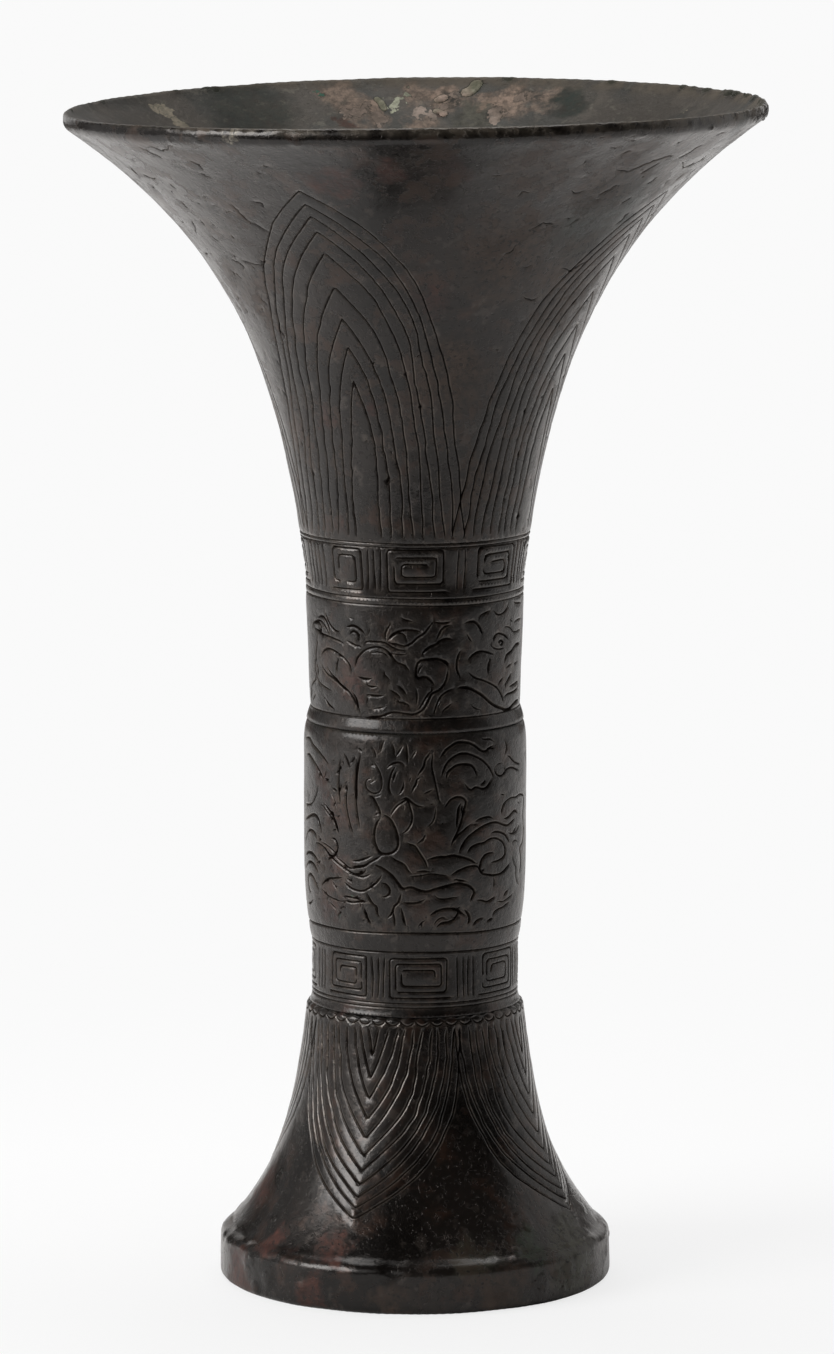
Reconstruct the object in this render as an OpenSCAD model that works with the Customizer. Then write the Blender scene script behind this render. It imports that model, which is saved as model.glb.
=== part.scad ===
// Archaistic bronze gu vessel, millimetres, +Z up, standing on Z = 0.
// Three cast sections plug into each other and are soft-soldered, and a
// loose floor disc is soldered on a ledge inside the waist.

/* [Overall] */
// Outer diameter of the lip
mouth_d = 141.8; // [116:0.2:172]
// Outer diameter of the upright ring that the vessel stands on
foot_d = 80.2; // [66:0.2:98]
// Outer diameter of the slim waist at its fret band
waist_d = 42.3; // [35:0.1:51]
// Height of the foot casting, from the ground to its seam
foot_h = 57.4; // [47:0.2:70]
// Height of the waist casting, from the lower seam to the upper seam
waist_h = 58; // [48:0.2:70]
// Height of the trumpet casting, from the upper seam to the rim
trumpet_h = 124.6; // [103:0.2:150]

/* [Foot] */
// Height of the upright ring below its rounded shoulder
foot_ring_h = 7.9; // [5:0.1:12]
// Height of the rounded shoulder above the ring
foot_shoulder_h = 2.9; // [1.5:0.1:5]
// How far the shoulder draws in before the sweep begins
foot_shoulder_in = 2.2; // [1:0.1:4]
// How far the collar at the top of the foot stands out from the waist
collar_step = 1.15; // [0.6:0.05:2]
// Height of the collar, from the end of the sweep to the seam
collar_h = 7.4; // [6:0.1:10]
// Wall of the foot casting
foot_wall = 2.8; // [2:0.1:4]

/* [Waist] */
// Wall of the waist at its fret band
waist_wall = 2.15; // [1.6:0.05:2.8]
// Height of the lower fret band
band_h = 12.2; // [8:0.2:16]
// How far the drum swells out beyond the fret band
drum_swell = 1.55; // [0.8:0.05:3]
// How far the top of the drum stands out beyond the fret band
drum_top_step = 0.95; // [0.8:0.05:2]
// Height of the rounded shoulder at the top of the drum
drum_shoulder_h = 5.2; // [3:0.2:8]
// Depth of the wider chamber inside the drum
chamber_depth = 1; // [0.4:0.1:1.4]

/* [Trumpet] */
// How far the neck stands out from the waist just above its bead
neck_step = 0.25; // [0:0.05:1]
// How far the neck stands out from the waist where the flare begins
neck_top_step = 1.2; // [0.5:0.05:3]
// Height of the neck, from the upper seam to the start of the flare
neck_h = 30.6; // [20:0.2:42]
// Wall of the neck and flare
trumpet_wall = 2.2; // [1.6:0.1:2.7]
// Height of the half-round bead at the foot of the neck
bead_h = 2.6; // [1.6:0.1:4]
// How far the bead stands out from the waist
bead_step = 0.85; // [0.5:0.05:1.5]
// Height of the upright edge of the lip
lip_h = 3.2; // [2.4:0.1:4.4]
// Thickness of the lip
lip_t = 2.6; // [2.4:0.1:4]

/* [Joints] */
// Length of each spigot inside its socket
spigot_len = 7; // [4:0.2:9]
// Wall of the spigot under the trumpet
upper_spigot_wall = 1.4; // [1:0.1:1.7]
// Wall of the spigot under the waist
lower_spigot_wall = 2.9; // [2:0.1:3.2]
// Thickness of the solder film between spigot and socket
solder_gap = 0.2; // [0.1:0.05:0.3]
// Free space left under each spigot
spigot_relief = 0.4; // [0.2:0.1:1]

/* [Floor] */
// Height of the floor ledge above the lower seam
ledge_rise = 2.4; // [1:0.1:5]
// Width of the floor ledge
ledge_w = 2; // [1.2:0.1:3]
// Thickness of the floor disc
floor_t = 2; // [1.2:0.1:3]
// Gap between the floor disc and the bore
floor_gap = 0.2; // [0.1:0.05:0.4]
// Height and reach of the solder fillet on the floor
fillet_size = 1.5; // [0.8:0.1:2.4]

/* [Hidden] */
bronze = [0.20, 0.17, 0.15];
raw_bronze = [0.36, 0.28, 0.20];
solder = [0.52, 0.52, 0.50];

// Facets round a full turn, and steps along each profile curve
$fn = 120;
steps = 26;
// Small edge roundings, by radius
edge_r = 0.6;
lip_edge_r = 1.1;

// Heights of the seams and the floor above the ground
waist_z = foot_h;
trumpet_z = waist_z + waist_h;
ledge_z = waist_z + ledge_rise;
floor_top_z = ledge_z + floor_t;

// Radii that the three castings share
waist_r = waist_d / 2;
bore_r = waist_r - waist_wall;
ledge_r = bore_r - ledge_w;
upper_spigot_r = bore_r + upper_spigot_wall;
lower_spigot_r = ledge_r + lower_spigot_wall;
upper_socket_r = upper_spigot_r + solder_gap;
lower_socket_r = lower_spigot_r + solder_gap;
socket_depth = spigot_len + spigot_relief;

// A point on a cubic Bezier curve, and the curve as a list of points
function bezier_point(p, t) =
    pow(1 - t, 3) * p[0] + 3 * pow(1 - t, 2) * t * p[1]
    + 3 * (1 - t) * t * t * p[2] + pow(t, 3) * p[3];
function bezier(p, n = steps) = [for (i = [0 : n]) bezier_point(p, i / n)];

// Points of an arc about a centre, from one angle to another
function arc(centre, r, from, to, n = 6) =
    [for (i = [0 : n]) let (a = from + (to - from) * i / n)
        centre + r * [cos(a), sin(a)]];

// A run of profile points moved inwards by a wall, along each point's normal
function direction(p, i) =
    let (a = p[max(i - 1, 0)], b = p[min(i + 1, len(p) - 1)]) (b - a) / norm(b - a);
function inset(p, wall) =
    [for (i = [0 : len(p) - 1]) p[i] + wall * [-direction(p, i).y, direction(p, i).x]];
function reversed(p) = [for (i = [len(p) - 1 : -1 : 0]) p[i]];

// The foot's concave sweep, from the shoulder of its ring up to the collar
foot_r = foot_d / 2;
sweep_low = [foot_r - foot_shoulder_in, foot_ring_h + foot_shoulder_h];
sweep_high = [waist_r + collar_step + 0.5, foot_h - collar_h];
sweep_reach = sweep_low.x - sweep_high.x;
sweep_rise = sweep_high.y - sweep_low.y;
foot_sweep = bezier([
    sweep_low,
    [sweep_low.x - sweep_reach * 0.66, sweep_low.y + sweep_rise * 0.31],
    [sweep_high.x + sweep_reach * 0.105, sweep_high.y - sweep_rise * 0.395],
    sweep_high]);

// The drum's side from the lower fret band up, and its rounded shoulder
drum_r = waist_r + drum_swell;
drum_top_r = waist_r + drum_top_step;
drum_shoulder_z = waist_h - drum_shoulder_h;
drum_rise = drum_shoulder_z - band_h;
drum_side = bezier([
    [waist_r, band_h],
    [waist_r + drum_swell * 0.6, band_h + drum_rise * 0.13],
    [drum_r, band_h + drum_rise * 0.26],
    [drum_r, band_h + drum_rise * 0.68]], 14);
drum_shoulder = bezier([
    [drum_r, drum_shoulder_z],
    [drum_r, drum_shoulder_z + drum_shoulder_h * 0.45],
    [drum_top_r + 0.4, waist_h - drum_shoulder_h * 0.2],
    [drum_top_r, waist_h]], 8);

// The flare, from the neck out to the underside of the lip
mouth_r = mouth_d / 2;
flare_low = [waist_r + neck_top_step, neck_h];
flare_high = [mouth_r - 0.8, trumpet_h - lip_h];
flare_reach = flare_high.x - flare_low.x;
flare_rise = flare_high.y - flare_low.y;
flare = bezier([
    flare_low,
    [flare_low.x + flare_reach * 0.112, flare_low.y + flare_rise * 0.455],
    [flare_low.x + flare_reach * 0.305, flare_low.y + flare_rise * 0.742],
    flare_high]);

module turned(outline, z = 0) {
    translate([0, 0, z])
        rotate_extrude()
            polygon(outline);
}

// The foot: an upright ring, a concave sweep and a collar that takes the
// waist's spigot. It is hollow and open below.
module splayed_foot() {
    collar_r = waist_r + collar_step;
    socket_z = foot_h - socket_depth;
    shoulder = bezier([
        [foot_r, foot_ring_h],
        [foot_r, foot_ring_h + foot_shoulder_h * 0.45],
        [foot_r - foot_shoulder_in * 0.4, foot_ring_h + foot_shoulder_h * 0.75],
        sweep_low], 8);
    // The hollow keeps the wall inside the sweep, up to the socket's floor
    hollow = [for (p = inset(foot_sweep, foot_wall))
        if (p.y < socket_z - foot_wall && p.x > ledge_r) p];
    color(bronze)
        turned(concat(
            [[foot_r - foot_wall, 0]],
            arc([foot_r - edge_r, edge_r], edge_r, -90, 0, 4),
            shoulder,
            foot_sweep,
            arc([collar_r - edge_r, foot_h - edge_r], edge_r, 0, 90, 4),
            [[lower_socket_r, foot_h], [lower_socket_r, socket_z], [ledge_r, socket_z],
                [ledge_r, socket_z - foot_wall]],
            reversed(hollow),
            [[foot_r - foot_wall, foot_ring_h * 0.8]]));
}

// The waist: a fret band, a swelling drum, a spigot below, a socket above
// and a ledge inside that carries the floor disc.
module waist_section() {
    chamber_r = bore_r + chamber_depth;
    socket_z = waist_h - socket_depth;
    chamber_low = band_h + 4;
    chamber_high = socket_z - 4;
    ramp = 2 * chamber_depth;
    color(bronze)
        turned(concat(
            [[lower_spigot_r, -spigot_len], [lower_spigot_r, 0], [waist_r, 0]],
            drum_side,
            drum_shoulder,
            [[upper_socket_r, waist_h], [upper_socket_r, socket_z], [bore_r, socket_z],
                [bore_r, chamber_high], [chamber_r, chamber_high - ramp],
                [chamber_r, chamber_low + ramp], [bore_r, chamber_low],
                [bore_r, ledge_rise], [ledge_r, ledge_rise],
                [ledge_r, -spigot_len]]),
            waist_z);
}

// The trumpet: a spigot, a bead that sits on the drum, the neck, the flare
// of even wall and an upright lip with rounded edges.
module trumpet_mouth() {
    neck_r = waist_r + neck_step;
    groove_z = bead_h + 1;
    bead = arc([waist_r + bead_step - bead_h / 2, bead_h / 2], bead_h / 2, -50, 90, 7);
    lip_low = arc([mouth_r - lip_edge_r, flare_high.y + lip_edge_r], lip_edge_r, -60, 0, 4);
    lip_top = arc([mouth_r - lip_edge_r, trumpet_h - lip_edge_r], lip_edge_r, 0, 90, 5);
    // The lip thickens inwards over the last stretch of the flare
    inner = [for (p = inset(flare, trumpet_wall)) if (p.y < trumpet_h - lip_h * 1.4) p];
    color(bronze)
        turned(concat(
            [[bore_r, -spigot_len], [upper_spigot_r, -spigot_len], [upper_spigot_r, 0],
                [neck_r, 0]],
            bead,
            [[neck_r, groove_z]],
            flare,
            lip_low,
            lip_top,
            [[mouth_r - lip_t, trumpet_h - 0.3]],
            reversed(inner),
            [[neck_r - trumpet_wall, groove_z], [bore_r, bead_h]]),
            trumpet_z);
}

// The floor: a plain cast disc lowered on to the ledge.
module floor_disc() {
    color(raw_bronze)
        translate([0, 0, ledge_z])
            cylinder(h = floor_t, r = bore_r - floor_gap);
}

// Solder film that fills the gap round a spigot.
module solder_sleeve(spigot_r, top_z) {
    color(solder)
        translate([0, 0, top_z - spigot_len])
            difference() {
                cylinder(h = spigot_len, r = spigot_r + solder_gap);
                translate([0, 0, -1])
                    cylinder(h = spigot_len + 2, r = spigot_r);
            }
}

module lower_solder_seam() {
    solder_sleeve(lower_spigot_r, waist_z);
}

module upper_solder_seam() {
    solder_sleeve(upper_spigot_r, trumpet_z);
}

// Solder run round the edge of the floor, with a hollow fillet on top.
module floor_solder_fillet() {
    disc_r = bore_r - floor_gap;
    corner = [bore_r - fillet_size, floor_top_z + fillet_size];
    color(solder)
        turned(concat(
            [[disc_r, ledge_z], [bore_r, ledge_z]],
            arc(corner, fillet_size, 0, -90, 6),
            [[disc_r, floor_top_z]]));
}

splayed_foot();
waist_section();
trumpet_mouth();
floor_disc();
lower_solder_seam();
upper_solder_seam();
floor_solder_fillet();
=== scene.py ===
import math
import random

import bpy
import numpy as np
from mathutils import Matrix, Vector, noise
from mathutils.geometry import delaunay_2d_cdt
from mathutils.kdtree import KDTree


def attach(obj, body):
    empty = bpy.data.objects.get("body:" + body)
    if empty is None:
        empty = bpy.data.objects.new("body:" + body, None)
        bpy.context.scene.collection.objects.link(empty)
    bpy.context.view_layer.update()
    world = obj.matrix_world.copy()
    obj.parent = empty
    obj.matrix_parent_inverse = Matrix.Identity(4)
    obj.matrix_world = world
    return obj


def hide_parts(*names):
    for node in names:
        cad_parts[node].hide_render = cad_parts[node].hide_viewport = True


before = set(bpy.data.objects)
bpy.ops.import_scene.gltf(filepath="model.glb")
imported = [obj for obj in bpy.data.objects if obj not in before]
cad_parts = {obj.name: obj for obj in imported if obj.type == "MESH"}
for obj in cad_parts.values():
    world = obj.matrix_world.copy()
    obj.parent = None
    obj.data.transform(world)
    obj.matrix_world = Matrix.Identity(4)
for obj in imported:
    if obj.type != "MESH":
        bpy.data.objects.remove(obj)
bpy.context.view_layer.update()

# The splayed foot
# Cast tin bronze, hollow below, with an upright ring, a concave sweep and a collar.
# Its four hanging leaves are pressed in the wax before casting and their lines are
# cut deeper by hand, then the whole skin is blackened and waxed.

MM = 0.001


def bezier(p0, p1, p2, p3, count):
    """Points of one cubic curve, its first point left out."""
    points = []
    for i in range(1, count + 1):
        t = i / count
        a, b, c, d = (1 - t) ** 3, 3 * (1 - t) ** 2 * t, 3 * (1 - t) * t * t, t ** 3
        points.append((a * p0[0] + b * p1[0] + c * p2[0] + d * p3[0],
                       a * p0[1] + b * p1[1] + c * p2[1] + d * p3[1]))
    return points


def arc(x, z, radius, start, end, count):
    """Points of an arc in the plane of the profile, by degrees."""
    turns = [math.radians(start + (end - start) * i / count) for i in range(count + 1)]
    return [(x + radius * math.cos(a), z + radius * math.sin(a)) for a in turns]


class Profile:
    """The closed outline that a casting is turned from, with lengths along it in mm."""

    def __init__(self, below, outside, within):
        self.points = np.array(below + outside + within, float)
        loop = np.vstack([self.points, self.points[:1]])
        steps = np.hypot(*np.diff(loop, axis=0).T)
        self.loop = loop
        self.lengths = np.concatenate([[0.0], np.cumsum(steps)])
        self.outer = slice(len(below), len(below) + len(outside))

    def length_at(self, z):
        """Length along the outline at a height on the outer face."""
        return np.interp(z, self.loop[self.outer, 1], self.lengths[self.outer])

    def radius_at(self, length):
        return np.interp(length, self.lengths, self.loop[:, 0])

    def height_at(self, length):
        return np.interp(length, self.lengths, self.loop[:, 1])


class Stroke:
    """One cut line: angles in degrees, lengths along the outline, width and depth in mm."""

    def __init__(self, angles, lengths, width, depth, taper=1.6, ring=False):
        self.angles = np.asarray(angles, float)
        self.lengths = np.asarray(lengths, float)
        self.width = width
        self.depth = depth
        self.taper = taper
        self.ring = ring


def smooth_path(points, count=8):
    """A soft curve through given points."""
    if len(points) < 3:
        return [tuple(p) for p in points]
    ends = [points[0]] + list(points) + [points[-1]]
    path = [tuple(points[0])]
    for a, b, c, d in zip(ends, ends[1:], ends[2:], ends[3:]):
        for i in range(1, count + 1):
            t = i / count
            path.append(tuple(
                0.5 * (2 * b[k] + (c[k] - a[k]) * t
                       + (2 * a[k] - 5 * b[k] + 4 * c[k] - d[k]) * t * t
                       + (3 * b[k] - a[k] - 3 * c[k] + d[k]) * t ** 3)
                for k in (0, 1)))
    return path


def waver(seed, place, wave_length):
    """A smooth hand wobble between about -1 and 1."""
    return noise.noise(Vector((place / wave_length, seed * 7.31, 2.7))) * 1.8


# Distances round a cut line, in mm: its guard row, the rows kept free of the grid, the
# samples along it and the depth below which it no longer counts.
GUARD = 0.17
REACH = 0.75
SAMPLE_STEP = 0.16
SHALLOWEST = 0.02
# Lines and lumps stop short of the sheet's back seam, in degrees, and points stay off it,
# in mm. The seam's two sides are welded.
BACK = 179.5
LUMP_BACK = 176
SEAM_GAP = 0.06
WELD = 0.004
# The skin sinks softly towards each line, as rubbing has rounded its edges.
PILLOW = 0.11
PILLOW_REACH = 1.6
# Rings of points round a lump: share of its size, number of points.
LUMP_RINGS = ((0.0, 1), (0.6, 7), (0.85, 10), (1.1, 13))


def wrapped(strokes):
    """The strokes turned into the sheet's own range, cut where they cross its back seam."""
    kept = []
    for stroke in strokes:
        if stroke.ring:
            kept.append(stroke)
            continue
        for turn in (-360, 0, 360):
            angles = stroke.angles + turn
            within = np.abs(angles) < BACK
            edges = np.flatnonzero(np.diff(np.concatenate([[0], within, [0]])))
            for start, end in zip(edges[::2], edges[1::2]):
                if end - start > 1:
                    kept.append(Stroke(angles[start:end], stroke.lengths[start:end],
                                       stroke.width, stroke.depth, stroke.taper))
    return kept


def resample(profile, stroke, spacing):
    """Angles, lengths, unit normals and half widths at even steps along a stroke."""
    radii = profile.radius_at(stroke.lengths)
    across = np.radians(np.diff(stroke.angles)) * (radii[1:] + radii[:-1]) / 2
    steps = np.hypot(across, np.diff(stroke.lengths))
    along = np.concatenate([[0.0], np.cumsum(steps)])
    count = max(3, int(math.ceil(along[-1] / spacing)) + 1)
    at = np.linspace(0, along[-1], count)
    angles = np.interp(at, along, stroke.angles)
    lengths = np.interp(at, along, stroke.lengths)
    radii = profile.radius_at(lengths)
    dx = np.radians(np.gradient(angles)) * radii
    dy = np.gradient(lengths)
    size = np.hypot(dx, dy) + 1e-9
    half = np.full(count, stroke.width / 2)
    if not stroke.ring:
        ends = np.minimum(at, along[-1] - at) / stroke.taper
        half = half * np.sqrt(np.clip(ends, 0.0, 1.0))
    return angles, lengths, -dy / size, dx / size, half, radii


def place(profile, angles, lengths):
    """Points on the plain turned surface."""
    radii = profile.radius_at(lengths)
    turn = np.radians(angles)
    return np.stack([radii * np.sin(turn), -radii * np.cos(turn), profile.height_at(lengths)], 1)


def engraved_sheet(name, profile, strokes, rows, columns, spacing, rise=None, lumps=()):
    """The casting's skin laid flat: x is the angle, y the length along the outline.

    Every cut line has its bottom, both lips and a guard row beside each lip, so that
    the triangles follow it and its shading stays on it."""
    stretch = math.radians(1) * float(profile.radius_at(profile.lengths[profile.outer]).mean())
    lumps = [((lump[0] + 180) % 360 - 180,) + tuple(lump[1:]) for lump in lumps]
    lumps = [lump for lump in lumps if abs(lump[0]) < LUMP_BACK]
    points, edges = [], []

    def add(angles, lengths, chain):
        first = len(points)
        points.extend(zip(angles * stretch, lengths))
        if chain:
            edges.extend((i, i + 1) for i in range(first, len(points) - 1))

    strokes = wrapped(strokes)
    samples, widths, depths = [], [], []
    for stroke in strokes:
        angles, lengths, _, _, half, _ = resample(profile, stroke, SAMPLE_STEP)
        samples.append(place(profile, angles, lengths))
        widths.append(half)
        depths.append(stroke.depth * half / (stroke.width / 2))
    samples = np.vstack(samples)
    widths = np.concatenate(widths)
    depths = np.concatenate(depths)
    tree = KDTree(len(samples))
    for i, p in enumerate(samples):
        tree.insert(p, i)
    tree.balance()

    for angle, length, size, height, tone in lumps:
        radius = float(profile.radius_at(length))
        for share, count in LUMP_RINGS:
            turn = 2 * math.pi * np.arange(count) / count + share
            add(angle + np.degrees(np.cos(turn) * share * size / radius),
                length + np.sin(turn) * share * size, False)

    for stroke in strokes:
        angles, lengths, nx, ny, half, radii = resample(profile, stroke, spacing)
        inner = slice(0, None) if stroke.ring else slice(1, -1)
        add(angles, lengths, True)
        for side in (-1, 1):
            for extra, chain in ((0.0, True), (GUARD, False)):
                off = side * (half + extra)
                beside = angles + np.degrees(nx * off / radii)
                if stroke.ring:
                    beside = angles
                add(beside[inner], (lengths + ny * off)[inner], chain)

    grid = []
    for i, length in enumerate(rows):
        shift = 0.5 if i % 2 else 0.0
        angles = -180 + 360 * (np.arange(columns) + shift) / columns
        if i in (0, len(rows) - 1):
            angles = -180 + 360 * np.arange(columns) / columns
        angles = np.unique(np.concatenate([angles, [-180.0, 180.0]]))
        spots = place(profile, angles, np.full(len(angles), length))
        for angle, spot in zip(angles, spots):
            edge_point = abs(angle) > 179.99 or i in (0, len(rows) - 1)
            if edge_point or tree.find(spot)[2] > REACH:
                grid.append((angle * stretch, length))
    limit = 180 * stretch
    flat = [Vector((x if abs(x) < limit + 1e-6 else math.copysign(limit - SEAM_GAP, x), y))
            for x, y in points + grid]
    verts, _, faces = delaunay_2d_cdt(flat, edges, [], 0, 1e-3, False)[:3]

    co = np.array([(v.x, v.y) for v in verts])
    angles = co[:, 0] / stretch
    lengths = co[:, 1]
    cut = np.zeros(len(co))
    lip = np.zeros(len(co))
    crust = np.zeros(len(co))
    raised = np.zeros(len(co))
    if rise:
        raised = np.array([rise(angle, z, length) for angle, z, length in
                           zip(angles, profile.height_at(lengths), lengths)])
    spots = place(profile, angles, lengths)
    for angle, length, size, height, tone in lumps:
        centre = place(profile, np.array([angle]), np.array([length]))[0]
        near = np.linalg.norm(spots - centre, axis=1) / size
        steepness = 2.6 if height > 0 else 1.0
        swell = np.clip(steepness * (1 - near), 0, 1)
        swelling = height * swell * swell * (3 - 2 * swell)
        raised = np.maximum(raised, swelling) if height > 0 else raised + swelling
        crust = np.maximum(crust, tone * np.clip(4 * (1.1 - near), 0, 1))
    for i, spot in enumerate(spots):
        away = tree.find(spot)[2]
        if away < PILLOW_REACH:
            raised[i] -= PILLOW * (1 - away / PILLOW_REACH) ** 2
        for _, j, distance in tree.find_range(spot, REACH):
            half = widths[j]
            if half > SHALLOWEST:
                if distance < half:
                    cut[i] = max(cut[i], depths[j] * (1 - distance / half))
                lip[i] = max(lip[i], 1 - abs(distance - half) / GUARD)
    lip = np.where(cut > SHALLOWEST, 0.0, np.clip(lip, 0, 1))

    mesh = bpy.data.meshes.new(name)
    flat_co = np.stack([np.radians(angles), lengths, np.zeros(len(co))], 1)
    mesh.from_pydata(flat_co.tolist(), [], [list(f) for f in faces])
    inside = profile.lengths[profile.outer.stop - 1]
    for key, values in (("cut", cut), ("lip", lip), ("rise", raised), ("crust", crust),
                        ("inside", (lengths > inside).astype(float))):
        mesh.attributes.new(key, "FLOAT", "POINT").data.foreach_set(
            "value", values.astype(np.float32))
    sheet = bpy.data.objects.new(name, mesh)
    bpy.context.scene.collection.objects.link(sheet)
    return sheet


class Wire:
    """A node socket that can stand in a sum."""

    def __init__(self, graph, socket):
        self.graph = graph
        self.socket = socket

    def math(self, operation, *values):
        return self.graph.node("ShaderNodeMath", {"operation": operation},
                               dict(enumerate(values)))[0]

    def __add__(self, other):
        return self.math("ADD", self, other)

    def __sub__(self, other):
        return self.math("SUBTRACT", self, other)

    def __rsub__(self, other):
        return self.math("SUBTRACT", other, self)

    def __mul__(self, other):
        return self.math("MULTIPLY", self, other)

    __radd__ = __add__
    __rmul__ = __mul__

    def above(self, low, high):
        """0 below low, 1 above high, with a soft step between."""
        return self.graph.node(
            "ShaderNodeMapRange", {"interpolation_type": "SMOOTHSTEP", "clamp": True},
            {"Value": self, "From Min": low, "From Max": high})[0]

    def clamped(self):
        return self.graph.node("ShaderNodeClamp", {}, {"Value": self})[0]


class Outputs:
    """A node's output sockets, by name or number."""

    def __init__(self, graph, node):
        self.graph = graph
        self.node = node

    def __getitem__(self, key):
        return Wire(self.graph, self.node.outputs[key])


class Graph:
    """Adds nodes to a tree."""

    def __init__(self, tree):
        self.tree = tree

    def node(self, kind, settings=None, values=None):
        made = self.tree.nodes.new(kind)
        for key, value in (settings or {}).items():
            setattr(made, key, value)
        for key, value in (values or {}).items():
            socket = made.inputs[key]
            if isinstance(value, Wire):
                self.tree.links.new(value.socket, socket)
            elif socket.type == "RGBA" and len(value) == 3:
                socket.default_value = (*value, 1)
            else:
                socket.default_value = value
        return Outputs(self, made)

    def mix(self, amount, first, second):
        """Blends two colours."""
        return self.node("ShaderNodeMix", {"data_type": "RGBA"},
                         {0: amount, 6: first, 7: second})[2]

    def vector(self, operation, *values):
        """Vector maths on sockets or plain triples."""
        return self.node("ShaderNodeVectorMath", {"operation": operation},
                         dict(enumerate(values)))[0]


def build_turning_tree():
    """Rolls a flat engraved sheet round the axis on its outline and sinks its cut lines."""
    tree = bpy.data.node_groups.new("turn_on_outline", "GeometryNodeTree")
    face = tree.interface
    face.new_socket("Geometry", in_out="INPUT", socket_type="NodeSocketGeometry")
    face.new_socket("Outline", in_out="INPUT", socket_type="NodeSocketObject")
    for label in ("Cut depth", "Unevenness", "Rim wave", "Rim wave start", "Rim wave end"):
        face.new_socket(label, in_out="INPUT", socket_type="NodeSocketFloat")
    face.new_socket("Skin", in_out="INPUT", socket_type="NodeSocketMaterial")
    face.new_socket("Geometry", in_out="OUTPUT", socket_type="NodeSocketGeometry")
    g = Graph(tree)
    given = g.node("NodeGroupInput")
    spot = g.node("ShaderNodeSeparateXYZ", {}, {0: g.node("GeometryNodeInputPosition")[0]})
    outline = g.node("GeometryNodeObjectInfo", {}, {"Object": given["Outline"]})["Geometry"]
    on_curve = g.node("GeometryNodeSampleCurve", {"mode": "LENGTH", "use_all_curves": True},
                      {"Curves": outline, "Length": spot[1] * MM})
    at = g.node("ShaderNodeSeparateXYZ", {}, {0: on_curve["Position"]})
    along = g.node("ShaderNodeSeparateXYZ", {}, {0: on_curve["Tangent"]})

    def field(name):
        return g.node("GeometryNodeInputNamedAttribute", {"data_type": "FLOAT"},
                      {"Name": name})["Attribute"]

    turn = spot[0]
    lumps_at = g.node("ShaderNodeCombineXYZ", {}, {
        0: turn.math("SINE", turn) * at[0], 1: turn.math("COSINE", turn) * at[0], 2: at[2]})[0]
    lumps = g.node("ShaderNodeTexNoise", {"noise_dimensions": "3D"},
                   {"Vector": lumps_at, "Scale": 90.0, "Detail": 3.0, "Roughness": 0.42})[0] - 0.5
    inward = field("cut") * MM * given["Cut depth"] - field("rise") * MM
    inward = inward + lumps * given["Unevenness"]
    radius = at[0] - along[2] * inward
    height = at[2] + along[0] * inward
    fade = g.node("ShaderNodeMapRange", {"interpolation_type": "SMOOTHSTEP", "clamp": True},
                  {"Value": at[2], "From Min": given["Rim wave start"],
                   "From Max": given["Rim wave end"]})[0]
    wave = turn.math("SINE", turn) + turn.math("COSINE", turn * 2.0) * 0.45 + 0.54
    height = height + wave * fade * given["Rim wave"]
    height = height.math("MAXIMUM", height, 0.0)
    placed = g.node("ShaderNodeCombineXYZ", {}, {
        0: turn.math("SINE", turn) * radius,
        1: turn.math("COSINE", turn) * radius * -1.0, 2: height})[0]
    rolled = g.node("GeometryNodeSetPosition", {},
                    {"Geometry": given["Geometry"], "Position": placed})[0]
    closed = g.node("GeometryNodeMergeByDistance", {},
                    {"Geometry": rolled, "Distance": WELD * MM})[0]
    smooth = g.node("GeometryNodeSetShadeSmooth", {}, {"Geometry": closed})[0]
    real = g.node("GeometryNodeRealizeInstances", {}, {"Geometry": smooth})[0]
    skinned = g.node("GeometryNodeSetMaterial", {},
                     {"Geometry": real, "Material": given["Skin"]})[0]
    g.node("NodeGroupOutput", {}, {0: skinned})
    return tree


turning_tree = build_turning_tree()


def outline_curve(name, profile):
    """The closed outline as a curve in the XZ plane."""
    curve = bpy.data.curves.new(name, "CURVE")
    curve.dimensions = "3D"
    spline = curve.splines.new("POLY")
    spline.points.add(len(profile.points) - 1)
    for point, (x, z) in zip(spline.points, profile.points):
        point.co = (x * MM, 0, z * MM, 1)
    spline.use_cyclic_u = True
    obj = bpy.data.objects.new(name, curve)
    bpy.context.scene.collection.objects.link(obj)
    return obj


def turned_piece(name, profile, sheet, inputs, node):
    """Turns a sheet into a casting, as a plain mesh that stands for its CAD node."""
    curve = outline_curve(name + "_outline", profile)
    roll = sheet.modifiers.new("turn", "NODES")
    roll.node_group = turning_tree
    for item in turning_tree.interface.items_tree:
        if item.in_out == "INPUT" and item.name in inputs:
            roll[item.identifier] = inputs[item.name]
        if item.in_out == "INPUT" and item.name == "Outline":
            roll[item.identifier] = curve
    shaped = sheet.evaluated_get(bpy.context.evaluated_depsgraph_get())
    mesh = bpy.data.meshes.new_from_object(shaped)
    sheet.modifiers.clear()
    piece = bpy.data.objects.new(name, mesh)
    bpy.context.scene.collection.objects.link(piece)
    for spare in (sheet, curve):
        bpy.data.objects.remove(spare)
    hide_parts(node)
    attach(piece, "root")


def coordinates(g):
    return g.node("ShaderNodeTexCoord")["Object"]
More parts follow.
